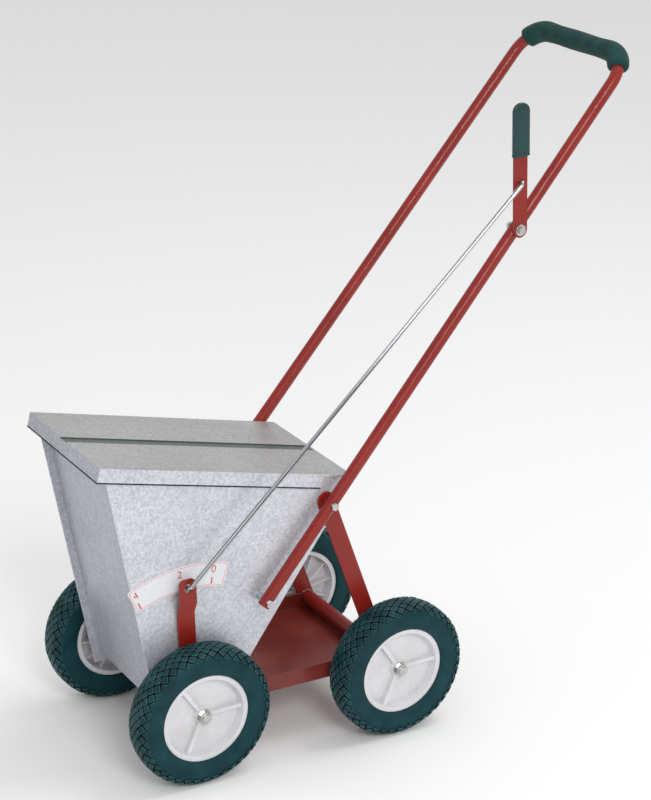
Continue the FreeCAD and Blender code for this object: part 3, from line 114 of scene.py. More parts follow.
def soft_lamp(name, place, size, power):
    """Square area lamp that looks at the machine."""
    data = bpy.data.lights.new(name, "AREA")
    data.shape = "SQUARE"
    data.size = size
    data.energy = power
    lamp = bpy.data.objects.new(name, data)
    scene.collection.objects.link(lamp)
    lamp.location = place
    towards = Vector(LAMP_AIM) - Vector(place)
    lamp.rotation_euler = towards.to_track_quat("-Z", "Y").to_euler()


def make_lights():
    """Place, size in metres and watts of the two lamps."""
    soft_lamp("key", (3.4, -1.0, 2.8), 1.3, 62.0)
    soft_lamp("top", (0.4, 1.6, 3.8), 1.6, 34.0)


# ---------------------------------------------------------------- materials

class Shader:
    """A material and the few node patterns that its surface is made with."""

    def __init__(self, name, color, roughness, metallic=0.0):
        self.material = bpy.data.materials.new(name)
        self.material.use_nodes = True
        self.tree = self.material.node_tree
        self.main = self.tree.nodes["Principled BSDF"]
        self.main.inputs["Base Color"].default_value = (*color, 1.0)
        self.main.inputs["Roughness"].default_value = roughness
        self.main.inputs["Metallic"].default_value = metallic
        self.place = self.tree.nodes.new("ShaderNodeTexCoord").outputs["Object"]

    def set(self, **sockets):
        for name, number in sockets.items():
            self.main.inputs[name.replace("_", " ")].default_value = number

    def node(self, kind, **settings):
        made = self.tree.nodes.new(kind)
        for name, number in settings.items():
            setattr(made, name, number)
        return made

    def link(self, start, end):
        self.tree.links.new(start, end)

    def stretched(self, scale):
        mapping = self.node("ShaderNodeMapping")
        mapping.inputs["Scale"].default_value = scale
        self.link(self.place, mapping.inputs["Vector"])
        return mapping.outputs["Vector"]

    def noise(self, scale, detail=3.0, place=None):
        made = self.node("ShaderNodeTexNoise")
        made.inputs["Scale"].default_value = scale
        made.inputs["Detail"].default_value = detail
        self.link(place or self.place, made.inputs["Vector"])
        return made.outputs["Fac"]

    def cells(self, scale, output="Color"):
        made = self.node("ShaderNodeTexVoronoi")
        made.inputs["Scale"].default_value = scale
        self.link(self.place, made.inputs["Vector"])
        return made.outputs[output]

    def spread(self, value, low, high):
        made = self.node("ShaderNodeMapRange")
        made.inputs["To Min"].default_value = low
        made.inputs["To Max"].default_value = high
        self.link(value, made.inputs["Value"])
        return made.outputs["Result"]

    def ramp(self, value, *stops):
        made = self.node("ShaderNodeValToRGB")
        band = made.color_ramp
        while len(band.elements) < len(stops):
            band.elements.new(0.5)
        for element, (position, color) in zip(band.elements, stops):
            element.position = position
            element.color = (*color, 1.0)
        self.link(value, made.inputs["Fac"])
        return made.outputs["Color"]

    def math(self, operation, one, two):
        made = self.node("ShaderNodeMath", operation=operation)
        for socket, value in zip(made.inputs, (one, two)):
            if isinstance(value, (int, float)):
                socket.default_value = value
            else:
                self.link(value, socket)
        return made.outputs["Value"]

    def color(self, output):
        self.link(output, self.main.inputs["Base Color"])

    def roughness(self, output):
        self.link(output, self.main.inputs["Roughness"])

    def bump(self, height, strength, distance):
        made = self.node("ShaderNodeBump")
        made.inputs["Strength"].default_value = strength
        made.inputs["Distance"].default_value = distance
        self.link(height, made.inputs["Height"])
        self.link(made.outputs["Normal"], self.main.inputs["Normal"])


def zinc(name, light, dark, streak, spangle=300.0):
    """Galvanised sheet: small crystal spangles over soft clouds and rolling streaks."""
    made = Shader(name, light, 0.42, 0.5)
    crystals = made.node("ShaderNodeSeparateColor")
    made.link(made.cells(spangle), crystals.inputs["Color"])
    fine = made.noise(620.0, 4.0)
    clouds = made.noise(7.0, 4.0)
    streaks = made.noise(1.0, 5.0, made.stretched(streak))
    tone = made.math("MULTIPLY", crystals.outputs["Red"], 0.22)
    tone = made.math("ADD", tone, made.math("MULTIPLY", fine, 0.42))
    tone = made.math("ADD", tone, made.math("MULTIPLY", clouds, 0.26))
    tone = made.math("ADD", tone, made.math("MULTIPLY", streaks, 0.22))
    made.color(made.ramp(tone, (0.36, dark), (0.78, light)))
    made.roughness(made.spread(crystals.outputs["Green"], 0.36, 0.50))
    made.bump(made.math("ADD", fine, crystals.outputs["Blue"]), 0.07, 0.0002)
    return made.material


def red_paint(name, dark, light, cloud):
    """Sprayed enamel with a little orange peel, under a thin clear gloss."""
    made = Shader(name, light, 0.4)
    made.set(Specular_IOR_Level=0.25, Coat_Weight=0.3, Coat_Roughness=0.22)
    made.color(made.ramp(made.noise(cloud, 4.0), (0.36, dark), (0.66, light)))
    made.roughness(made.spread(made.noise(60.0, 3.0), 0.34, 0.48))
    made.bump(made.noise(420.0, 2.0), 0.10, 0.0003)
    return made.material


def rubber(name, base, high, roughness):
    """Moulded rubber, a little chalky in patches."""
    made = Shader(name, base, roughness)
    made.set(Specular_IOR_Level=0.2)
    dust = made.noise(38.0, 6.0)
    made.color(made.ramp(dust, (0.35, base), (0.75, high)))
    made.roughness(made.spread(made.noise(90.0, 4.0), roughness - 0.07, roughness + 0.08))
    made.bump(made.noise(900.0, 3.0), 0.18, 0.0002)
    return made.material


def foam():
    """Closed-cell foam: dull, with fine pores."""
    made = Shader("grip_foam", (0.007, 0.045, 0.040), 0.85)
    made.set(Sheen_Weight=0.05, Sheen_Roughness=0.5, Specular_IOR_Level=0.2)
    pores = made.cells(1500.0, "Distance")
    cloud = made.noise(45.0, 5.0)
    made.color(made.ramp(cloud, (0.3, (0.005, 0.035, 0.031)), (0.75, (0.012, 0.060, 0.054))))
    made.bump(made.math("ADD", pores, made.noise(260.0, 4.0)), 0.35, 0.0004)
    return made.material


def vinyl():
    """Dipped vinyl: smooth, glossy and thick."""
    made = Shader("lever_vinyl", (0.006, 0.040, 0.040), 0.3)
    made.set(Specular_IOR_Level=0.3, Coat_Weight=0.2, Coat_Roughness=0.1)
    cloud = made.noise(30.0, 3.0)
    made.color(made.ramp(cloud, (0.3, (0.005, 0.034, 0.034)), (0.7, (0.011, 0.052, 0.051))))
    made.bump(made.noise(350.0, 2.0), 0.1, 0.0002)
    return made.material


def hub_plastic():
    """White moulded plastic with a faint flow pattern and a few scuffs."""
    made = Shader("hub_plastic", (0.70, 0.69, 0.71), 0.38)
    made.set(Subsurface_Weight=0.05, Subsurface_Scale=0.004)
    flow = made.noise(22.0, 5.0)
    scuffs = made.noise(160.0, 6.0)
    tone = made.math("ADD", made.math("MULTIPLY", flow, 0.7), made.math("MULTIPLY", scuffs, 0.3))
    made.color(made.ramp(tone, (0.3, (0.60, 0.585, 0.60)), (0.6, (0.71, 0.70, 0.72))))
    made.roughness(made.spread(scuffs, 0.3, 0.46))
    made.bump(made.noise(300.0, 3.0), 0.08, 0.0002)
    return made.material


def plated_steel():
    """Bright zinc-plated steel, faintly clouded."""
    made = Shader("plated_steel", (0.55, 0.54, 0.52), 0.24, 1.0)
    cloud = made.noise(70.0, 4.0)
    made.color(made.ramp(cloud, (0.3, (0.42, 0.42, 0.41)), (0.7, (0.62, 0.61, 0.59))))
    made.roughness(made.spread(made.noise(180.0, 4.0), 0.16, 0.30))
    made.bump(made.noise(240.0, 3.0), 0.04, 0.0002)
    return made.material


def rod_steel():
    """Drawn steel rod: dark and light streaks along its length, partly fine die lines and partly painted
    reflection.
    """
    made = Shader("rod_steel", (0.4, 0.4, 0.42), 0.24, 1.0)
    rod = frame["nodes"]["control_rod"].data
    ends = [(rod.vertices[edge.vertices[0]], rod.vertices[edge.vertices[1]]) for edge in rod.edges]
    along = max((start.co - end.co for start, end in ends), key=lambda span: span.length)
    lines = made.node("ShaderNodeMapping", vector_type="TEXTURE")
    lines.inputs["Rotation"].default_value = along.to_track_quat("Z", "Y").to_euler()
    lines.inputs["Scale"].default_value = (0.0028, 0.0028, 0.4)
    made.link(made.place, lines.inputs["Vector"])
    die_lines_and_reflection = made.noise(1.0, 1.0, lines.outputs["Vector"])
    # dark and light streaks round the rod: partly die lines, partly painted reflection
    dark, grey, light = (0.07, 0.075, 0.08), (0.34, 0.35, 0.37), (0.62, 0.63, 0.65)
    made.color(made.ramp(die_lines_and_reflection, (0.40, dark), (0.50, grey), (0.60, light)))
    made.roughness(made.spread(made.noise(40.0, 3.0), 0.20, 0.32))
    return made.material


def printed(name, color):
    """Ink or film on the gauge."""
    made = Shader(name, color, 0.45)
    speck = made.noise(700.0, 3.0)
    darker = tuple(part * 0.86 for part in color)
    made.color(made.ramp(speck, (0.35, darker), (0.6, color)))
    made.bump(speck, 0.05, 0.0001)
    return made.material


PANEL_STREAK = (160.0, 8.0, 8.0)

PAINTS = {
    # painted light: the panel zinc is a lighter copy of the same sheet as the front's darker one, and the lid's
    # side edges and corner tabs take it too
    "zinc_sheet": zinc(
        "zinc_panels_lit", (0.75, 0.76, 0.81), (0.43, 0.445, 0.485), PANEL_STREAK),
    # painted shade: a darker copy of the panel zinc, for the hopper's front wall, the lid's front edge and the
    # handle's lower spacers
    "zinc_painted_shade": zinc(
        "zinc_front_painted_shade", (0.54, 0.555, 0.60), (0.33, 0.345, 0.385), PANEL_STREAK),
    "lid_sheet": zinc(
        "zinc_lid", (0.56, 0.56, 0.565), (0.32, 0.32, 0.325), (260.0, 5.0, 30.0), 420.0),
    "lid_groove": zinc(
        "zinc_groove", (0.16, 0.185, 0.175), (0.10, 0.12, 0.115), (9.0, 160.0, 160.0)),
    # painted shadow: a dark strip under the lid's lower edge, where the gap between lid and hopper falls in shade
    "lid_painted_shadow": rubber("lid_painted_shadow", (0.008, 0.010, 0.012), (0.014, 0.017, 0.02), 0.7),
    "zinc_plated": plated_steel(),
    "rod": rod_steel(),
    "red_paint": red_paint("red_enamel", (0.215, 0.011, 0.006), (0.265, 0.015, 0.009), 14.0),
    # the pan's red: dust makes it browner, and its darker tone is painted shade
    "red_dust_and_shade": red_paint("red_dust_and_shade", (0.13, 0.012, 0.008), (0.21, 0.036, 0.026), 9.0),
    "hub": hub_plastic(),
    "tyre": rubber("tyre_rubber", (0.001, 0.029, 0.035), (0.005, 0.050, 0.058), 0.55),
    "tyre_tread": rubber("tyre_tread", (0.002, 0.022, 0.027), (0.010, 0.056, 0.063), 0.42),
    # painted highlight: a lighter rubber on the blocks' bevelled top edges
    "tyre_edge_highlight": rubber("tyre_edge_highlight", (0.012, 0.062, 0.070), (0.045, 0.140, 0.150), 0.4),
    # painted shade: a near-black rubber on the carcass between the blocks and on the blocks' walls and feet
    "tyre_groove_shade": rubber("tyre_groove_shade", (0.001, 0.005, 0.006), (0.002, 0.009, 0.010), 0.8),
    "foam": foam(),
    "vinyl": vinyl(),
    "gauge": printed("gauge_film", (0.74, 0.76, 0.80)),
    "gauge_ink": printed("gauge_ink", (0.62, 0.045, 0.03)),
    "gauge_line": printed("gauge_line", (0.80, 0.30, 0.22)),
}


def paint_frame():
    """Every CAD node takes the material of its slot, apart from a few: the front wall takes the painted-shade
    zinc, the pan a red darkened by dust and painted shade, the rod its own steel.
    """
    slots = {part["node"]: part["material_slot"] for part in frame["record"]["subparts"]}
    for name, node in frame["nodes"].items():
        paint = PAINTS["lid_sheet" if name == "lid" else slots[name]]
        node.data.materials.clear()
        node.data.materials.append(paint)
        for face in node.data.polygons:
            face.material_index = 0
    paint_lid(frame["nodes"]["lid"])
    paint_spacers(frame["nodes"]["handle_spacers"])
    # the front wall's darker zinc is painted shade; the pan's red is browned by dust and darkened by painted shade
    special = {"hopper_front_wall": "zinc_painted_shade", "control_rod": "rod", "base_pan": "red_dust_and_shade"}
    for name, paint in special.items():
        frame["nodes"][name].data.materials[0] = PAINTS[paint]


def paint_spacers(spacers):
    """The handle's lower spacers are bare zinc in the painted-shade copy, the upper ones are painted with the
    struts.
    """
    low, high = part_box("handle_spacers")
    spacers.data.materials.append(PAINTS["zinc_painted_shade"])
    for face in spacers.data.polygons:
        if (spacers.matrix_world @ face.center).z < (low.z + high.z) / 2:
            face.material_index = 1


LID_GROOVE_HALF = 0.0102


def paint_lid(lid):
    """Groove dark; side edges take the panels' lighter zinc as painted light, and the front edge the darker zinc
    as painted shade.
    """
    for paint in ("lid_groove", "zinc_sheet", "zinc_painted_shade"):
        lid.data.materials.append(PAINTS[paint])
    points = lid.data.vertices
    for face in lid.data.polygons:
        inside = all(abs(points[index].co.x) < LID_GROOVE_HALF for index in face.vertices)
        # faces turned to the side get painted light, faces turned to the front painted shade
        if abs(face.normal.x) > 0.9 and not inside:
            face.material_index = 2
        elif face.normal.y < -0.9:
            face.material_index = 3
        elif inside:
            face.material_index = 1


# ---------------------------------------------------------------- mesh helpers

def add_piece(name, mesh, paint, body, smooth=40.0):
    """Put a finished mesh in the scene, riding on its body."""
    piece = bpy.data.objects.new(name, mesh)
    scene.collection.objects.link(piece)
    mesh.materials.append(PAINTS[paint])
    for face in mesh.polygons:
        face.use_smooth = True
    mesh.set_sharp_from_angle(angle=math.radians(smooth))
    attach(piece, body)
    return piece


def loft(mesh, rings, closed_path=False, capped=True):
    """Skin rings of equal length into a tube."""
    grid = [[mesh.verts.new(point) for point in ring] for ring in rings]
    count = len(grid)
    width = len(grid[0])
    last = count if closed_path else count - 1
    for row in range(last):
        below = grid[row]
        above = grid[(row + 1) % count]
        for column in range(width):
            after = (column + 1) % width
            mesh.faces.new((below[column], below[after], above[after], above[column]))
    if capped and not closed_path:
        mesh.faces.new(list(reversed(grid[0])))
        mesh.faces.new(grid[-1])
    return grid


def finish_mesh(mesh, name):
    """Turn a bmesh into mesh data with its normals outwards."""
    bmesh.ops.recalc_face_normals(mesh, faces=mesh.faces[:])
    data = bpy.data.meshes.new(name)
    mesh.to_mesh(data)
    mesh.free()
    return data


def smooth_curve(points, steps):
    """Catmull-Rom curve through the points."""
    result = []
    for index in range(len(points) - 1):
        before = points[max(index - 1, 0)]
        start = points[index]
        end = points[index + 1]
        after = points[min(index + 2, len(points) - 1)]
        for step in range(steps):
            part = step / steps
            result.append(tuple(
                0.5 * (2 * b + (c - a) * part + (2 * a - 5 * b + 4 * c - d) * part ** 2
                       + (3 * b - a - 3 * c + d) * part ** 3)
                for a, b, c, d in zip(before, start, end, after)))
    result.append(tuple(points[-1]))
    return result


# ---------------------------------------------------------------- tyres

# tyre section from the bead to the middle of the tread, without the blocks:
# millimetres from the wheel's centre plane, and radius
TYRE_SIDE = (
    (14.4, 60.4), (16.2, 63.2), (18.2, 64.6), (19.4, 64.4), (20.6, 66.0), (21.4, 70.0),
    (21.9, 76.0), (21.9, 82.0), (21.6, 85.6), (22.1, 86.6), (21.4, 87.8),
    (20.5, 91.0), (18.8, 94.2), (16.0, 96.4), (12.0, 97.6), (6.0, 98.1), (0.0, 98.3),
)
TYRE_STEPS = 144
TREAD_PITCHES = 40
TREAD_HEIGHT = 3.3
ROW_STEP = 5.7
# rows of blocks: distance across the tread, shift round it in pitches, share of the height
TREAD_ROWS = (
    (0.0, 0.0, 1.0), (ROW_STEP, 0.5, 1.0), (-ROW_STEP, 0.5, 1.0),
    (2 * ROW_STEP, 0.0, 1.0), (-2 * ROW_STEP, 0.0, 1.0),
    (3 * ROW_STEP, 0.5, 0.9), (-3 * ROW_STEP, 0.5, 0.9),
)
# a block's half size and half its cut corner across the tread, in millimetres
BLOCK_HALF = 4.15
BLOCK_FLAT = 0.5
# the same round the tread, in pitches
BLOCK_REACH = 0.37
BLOCK_TIP = 0.05
# bevel of the top as (share of the size left, millimetres below the top), and
# the level of the foot, which is sunk in the carcass
BLOCK_BEVEL = ((1.0, 0.8), (0.93, 0.2), (0.80, 0.0))
BLOCK_SUNK = -0.6
# how far blocks stray round the tread in pitches, and the least share of their height
BLOCK_SHIFT = 0.03
BLOCK_WORN = 0.84
# shoulder lugs: millimetres across the tread, half widths round it in pitches, and
# share of the height
LUG_FOOT = 24.6
LUG_SLOPE = 3.6
LUG_CUT = 1.6
LUG_REACH = 0.34
LUG_TOE = 0.26
LUG_RISE = 0.55
TYRE_PAINTS = ("tyre", "tyre_groove_shade", "tyre_tread", "tyre_edge_highlight")
# paint of a block's faces in the order they are made: walls, bevels, foot and top; walls and foot take the painted
# groove shade, bevels the painted highlight
BLOCK_PAINTS = (1,) * 8 + (3,) * 16 + (1, 2)
# the carcass shows between the blocks beyond this radius and inside this half
# width, in metres, and is painted dark there as groove shade
GROOVE_SHADE_RADIUS = 0.0925
GROOVE_SHADE_REACH = 0.0200


def crown_point(across, height):
    """Tread point at a distance round the crown, raised above the carcass."""
    side = 1.0 if across >= 0 else -1.0
    reach = min(abs(across), CROWN[-1][2] - 1e-6)
    for start, end in zip(CROWN, CROWN[1:]):
        if end[2] >= reach:
            break
    part = (reach - start[2]) / (end[2] - start[2])
    along = Vector((end[0] - start[0], end[1] - start[1])).normalized()
    x = start[0] + (end[0] - start[0]) * part
    r = start[1] + (end[1] - start[1]) * part
    return side * (x - along.y * height), r + along.x * height


def crown_table():
    """Half section from the middle outwards, with the distance along it."""
    points = list(reversed(smooth_curve(TYRE_SIDE, 4)))
    table = [(points[0][0], points[0][1], 0.0)]
    for point in points[1:]:
        step = math.dist(point, table[-1][:2])
        table.append((point[0], point[1], table[-1][2] + step))
    return table


CROWN = crown_table()


def diamond(middle):
    """Lozenge with its corners cut off, as (pitches round, millimetres across)."""
    low, high = middle - BLOCK_HALF, middle + BLOCK_HALF
    below, above = middle - BLOCK_FLAT, middle + BLOCK_FLAT
    return (
        (-BLOCK_REACH, below), (-BLOCK_TIP, low), (BLOCK_TIP, low), (BLOCK_REACH, below),
        (BLOCK_REACH, above), (BLOCK_TIP, high), (-BLOCK_TIP, high), (-BLOCK_REACH, above),
    )


def shoulder_lug():
    """Wedge that fills the zigzag's last notch and runs down the shoulder."""
    tip = 4 * ROW_STEP - BLOCK_HALF
    above, below = tip + LUG_SLOPE, LUG_FOOT - LUG_CUT
    return (
        (-BLOCK_TIP, tip), (BLOCK_TIP, tip), (LUG_REACH, above), (LUG_REACH, below),
        (LUG_TOE, LUG_FOOT), (-LUG_TOE, LUG_FOOT), (-LUG_REACH, below), (-LUG_REACH, above),
    )


def tread_block(mesh, outline, turn, side, rise, wheel_point):
    """One raised rubber block with bevelled top edges."""
    middle_u = sum(point[0] for point in outline) / len(outline)
    middle_v = sum(point[1] for point in outline) / len(outline)
    top = TREAD_HEIGHT * rise
    levels = [(1.0, BLOCK_SUNK)] + [(shrink, top - drop) for shrink, drop in BLOCK_BEVEL]
    rings = []
    for shrink, height in levels:
        ring = []
        for part, across in outline:
            u = middle_u + (part - middle_u) * shrink
            v = middle_v + (across - middle_v) * shrink
            ring.append(wheel_point(turn + u, side * v, height))
        rings.append(ring)
    loft(mesh, rings)


def make_tyre(name, node, body, hub_side):
    """Carcass turned from the section, with a slightly uneven block tread."""
    random.seed(11)
    low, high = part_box(node)
    centre = (low + high) / 2
    mesh = bmesh.new()

    def wheel_point(pitches, across, height):
        x, r = crown_point(across, height)
        angle = 2 * math.pi * pitches / TREAD_PITCHES
        return centre + Vector((hub_side * x, r * math.cos(angle), r * math.sin(angle))) * MM

    half = smooth_curve(TYRE_SIDE, 3)
    section = half + [(-x, r) for x, r in reversed(half[:-1])]
    rings = []
    for step in range(TYRE_STEPS):
        angle = 2 * math.pi * step / TYRE_STEPS
        spoke = Vector((0, math.cos(angle), math.sin(angle)))
        rings.append([centre + (Vector((x, 0, 0)) + spoke * r) * MM for x, r in section])
    loft(mesh, rings, closed_path=True)
    carcass = len(mesh.faces)
    for pitch in range(TREAD_PITCHES):
        for middle, offset, rise in TREAD_ROWS:
            turn = pitch + offset + random.uniform(-BLOCK_SHIFT, BLOCK_SHIFT)
            height = rise * random.uniform(BLOCK_WORN, 1.0)
            tread_block(mesh, diamond(middle), turn, 1.0, height, wheel_point)
        for side in (1.0, -1.0):
            tread_block(mesh, shoulder_lug(), pitch, side, LUG_RISE, wheel_point)
    piece = add_piece(name, finish_mesh(mesh, name), TYRE_PAINTS[0], body, 30.0)
    for paint in TYRE_PAINTS[1:]:
        piece.data.materials.append(PAINTS[paint])
    # block walls and feet and the carcass between the blocks take the painted groove shade, block bevels the
    # painted highlight
    for face in piece.data.polygons:
        arm = face.center - centre
        if face.index >= carcass:
            face.material_index = BLOCK_PAINTS[(face.index - carcass) % len(BLOCK_PAINTS)]
        elif math.hypot(arm.y, arm.z) > GROOVE_SHADE_RADIUS and abs(arm.x) < GROOVE_SHADE_REACH:
            face.material_index = 1
    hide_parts(node)


def make_tyres():
    """A treaded tyre on every wheel."""
    for word, side in (("right", 1.0), ("left", -1.0)):
        make_tyre("front_tread_" + word, "front_tyre_" + word, "front_wheels", side)
        make_tyre("rear_tread_" + word, "rear_tyre_" + word, "rear_wheel_" + word, side)


# ---------------------------------------------------------------- handle grip

HANDLE_LEAN = math.radians(38.51)
HANDLE_SPLAY = math.radians(0.704)
HANDLE_FOOT = AXLE + Vector((0.0, 0.10105, 0.1320))
HANDLE_FOOT_HALF = 0.1245
HANDLE_REACH = 0.9042
HANDLE_BEND = 0.045
GRIP_TURN = math.radians(58.0)
GRIP_RADIUS = 0.0136
GRIP_SWELL = 0.0013
GRIP_SWELL_START = 0.040
GRIP_SWELL_LENGTH = 0.035
GRIP_END_ROLL = 0.007
GRIP_GAP = 0.0002
GRIP_WAVES = 5
GRIP_SIDES = 40
GRIP_BEND_STEPS = 22
GRIP_BAR_STEPS = 26
TUBE_RADIUS = 0.0085


def handle_place(across, along):
    """Point in the plane of the handle."""
    up = Vector((0.0, math.sin(HANDLE_LEAN), math.cos(HANDLE_LEAN)))
    return HANDLE_FOOT + Vector((across, 0, 0)) + up * along


def grip_path():
    """Points along the grip's middle line: across the handle, and along it."""
    rise = HANDLE_REACH - HANDLE_BEND
    leg_x = HANDLE_FOOT_HALF - rise * math.tan(HANDLE_SPLAY)
    bend_x = leg_x - HANDLE_BEND / math.cos(HANDLE_SPLAY)
    bend = []
    for step in range(GRIP_BEND_STEPS + 1):
        angle = math.pi / 2 - GRIP_TURN * (1 - step / GRIP_BEND_STEPS)
        across = bend_x + HANDLE_BEND * math.cos(angle)
        bend.append((across, rise + HANDLE_BEND * math.sin(angle)))
    bar = []
    for step in range(1, GRIP_BAR_STEPS):
        bar.append((bend_x * (1 - 2 * step / GRIP_BAR_STEPS), HANDLE_REACH))
    return bend + bar + [(-x, along) for x, along in reversed(bend)]


def make_grip():
    """Foam sleeve: rolled ends, fuller round the bends, faintly uneven."""
    random.seed(7)
    path = grip_path()
    lengths = [0.0]
    for start, end in zip(path, path[1:]):
        lengths.append(lengths[-1] + math.dist(start, end))
    total = lengths[-1]
    normal = Vector((0.0, math.cos(HANDLE_LEAN), -math.sin(HANDLE_LEAN)))
    waves = []
    # ripples: phase, radians for each metre, and height
    for _ in range(GRIP_WAVES):
        phase = random.uniform(0, 6.28)
        rate = random.uniform(30, 90)
        waves.append((phase, rate, random.uniform(0.0001, 0.00022)))
    rings = []
    for index, (across, along) in enumerate(path):
        before = Vector(path[max(index - 1, 0)])
        after = Vector(path[min(index + 1, len(path) - 1)])
        direction = (after - before).normalized()
        inward = Vector((-direction.y, direction.x))
        near_end = min(lengths[index], total - lengths[index])
        roll = math.sqrt(max(0.0, 1 - (1 - min(near_end / GRIP_END_ROLL, 1.0)) ** 2))
        outward = (abs(across) - GRIP_SWELL_START) / GRIP_SWELL_LENGTH
        outward = min(max(outward, 0.0), 1.0)
        swell = GRIP_SWELL * outward ** 2 * (3 - 2 * outward)
        wall = (GRIP_RADIUS - TUBE_RADIUS) * (0.25 + 0.75 * roll)
        radius = TUBE_RADIUS + GRIP_GAP + wall + swell
        ring = []
        for side in range(GRIP_SIDES):
            angle = 2 * math.pi * side / GRIP_SIDES
            ripple = 0.0
            for phase, rate, size in waves:
                ripple += size * math.sin(phase + rate * lengths[index] + 2 * angle)
            reach = radius + ripple * roll
            offset = inward * (reach * math.cos(angle))
            centre = handle_place(across + offset.x, along + offset.y)
            ring.append(centre + normal * (reach * math.sin(angle)))
        rings.append(ring)
    mesh = bmesh.new()
    grid = loft(mesh, rings, capped=False)
    for ring, end in ((grid[0], path[0]), (grid[-1], path[-1])):
        close_on_tube(mesh, ring, end)
    data = finish_mesh(mesh, "handle_foam")
    piece = add_piece("handle_foam", data, "foam", "chassis", 50.0)
    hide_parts("handle_grip")


def close_on_tube(mesh, ring, end):
    """Draw an open end of the sleeve in until it meets the tube."""
    centre = handle_place(*end)
    inner = []
    for vertex in ring:
        arm = (vertex.co - centre).normalized()
        inner.append(mesh.verts.new(centre + arm * TUBE_RADIUS))
    count = len(ring)
    for index in range(count):
        after = (index + 1) % count
        mesh.faces.new((ring[index], ring[after], inner[after], inner[index]))


# ---------------------------------------------------------------- lever grip

LEVER_LEAN = math.radians(4.3)
LEVER_GRIP_FOOT = 0.1043
LEVER_GRIP_TOP = 0.1785
LEVER_GRIP_HALF = 0.0132
LEVER_GRIP_THICK = 0.0037
LEVER_GRIP_SIDES = 48
LEVER_GRIP_SQUARE = 0.42
LEVER_GRIP_ROUND = 0.0125
LEVER_GRIP_TAPER = 0.45
LEVER_GRIP_STEPS = 16
LEVER_GRIP_LEVELS = (0.0, 0.0006, 0.0014, 0.003, 0.006, 0.02, 0.035, 0.05)
# the rim swells this much, most at this height, and its foot is tucked in
RIM_SWELL = 0.0004
RIM_HEIGHT = 0.0014
RIM_SPREAD = 0.0012
RIM_TUCK = 0.00054


def lever_place(x, across, along):
    """Point in the lever's own frame: across is towards the rear."""
    turned = Matrix.Rotation(LEVER_LEAN, 3, "X") @ Vector((0.0, across, along))
    return LEVER_PIVOT + Vector((x, 0, 0)) + turned


def squarish(value):
    """Push a circle's coordinate out towards a square with round corners."""
    return math.copysign(abs(value) ** LEVER_GRIP_SQUARE, value)


def make_lever_grip():
    """Dipped sleeve with a soft rim at its foot and a round top."""
    shoulder = LEVER_GRIP_TOP - LEVER_GRIP_FOOT - LEVER_GRIP_ROUND
    levels = list(LEVER_GRIP_LEVELS)
    for step in range(LEVER_GRIP_STEPS + 1):
        turn = math.pi / 2 * step / LEVER_GRIP_STEPS
        levels.append(shoulder + LEVER_GRIP_ROUND * math.sin(turn))
    rings = []
    for level in levels:
        over = max(0.0, (level - shoulder) / LEVER_GRIP_ROUND)
        narrow = math.sqrt(max(0.0, 1 - over ** 2))
        rim = RIM_SWELL * math.exp(-((level - RIM_HEIGHT) / RIM_SPREAD) ** 2)
        if level == 0.0:
            rim -= RIM_TUCK
        half = LEVER_GRIP_HALF - LEVER_GRIP_ROUND * (1 - narrow) + rim
        thick = LEVER_GRIP_THICK * narrow ** LEVER_GRIP_TAPER + rim
        ring = []
        for side in range(LEVER_GRIP_SIDES):
            angle = 2 * math.pi * side / LEVER_GRIP_SIDES
            out = squarish(math.sin(angle)) * thick
            across = squarish(math.cos(angle)) * half
            ring.append(lever_place(out, across, LEVER_GRIP_FOOT + level))
        rings.append(ring)
    mesh = bmesh.new()
    loft(mesh, rings)
    data = finish_mesh(mesh, "lever_sleeve")
    piece = add_piece("lever_sleeve", data, "vinyl", "lever", 50.0)
    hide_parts("lever_grip")


# ---------------------------------------------------------------- gauge printing

# radii and widths along them in millimetres, places and widths round the gauge in degrees
GAUGE_INNER = 173.2
GAUGE_OUTER = 208.5
GAUGE_FRONT = 27.0
GAUGE_REAR = 16.0
BORDER_INSET = 1.6
BORDER_WIDTH = 0.8
BORDER_TURN = 0.25
BORDER_MARGIN = 0.5
BORDER_STEPS = 40
TICK_START = 3.0
TICK_END = 13.0
TICK_HALF = 0.3
NUMBER_INSET = 11.0
# the figures' size, level off the plate, thickness and thinner strokes, in metres
NUMBER_SIZE = 0.0155
NUMBER_PROUD = 0.0001
NUMBER_DEPTH = 0.00008
NUMBER_THINNED = -0.0001
# levels off the plate that the printed lines reach from and to, in metres
PRINT_SUNK = -0.0001
PRINT_PROUD = 0.00012
# places of the ticks and figures, in degrees forward of the vertical
GAUGE_TICKS = (25.0, 5.2, -9.7)
GAUGE_NUMBERS = (("4", 24.6), ("2", 5.2), ("0", -9.7))


def gauge_point(radius, degrees, proud):
    """Point on the gauge: degrees are forward of the vertical."""
    angle = math.radians(degrees)
    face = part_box("gauge_plate")[1].x
    flat = Vector((0.0, -radius * math.sin(angle), radius * math.cos(angle))) * MM
    return Vector((face + proud, AXLE.y, AXLE.z)) + flat


def band(mesh, inner, outer, start, end, steps):
    """Thin raised strip along an arc of the gauge."""
    rings = []
    for step in range(steps + 1):
        degrees = start + (end - start) * step / steps
        rings.append([
            gauge_point(inner, degrees, PRINT_SUNK), gauge_point(outer, degrees, PRINT_SUNK),
            gauge_point(outer, degrees, PRINT_PROUD), gauge_point(inner, degrees, PRINT_PROUD),
        ])
    loft(mesh, rings)


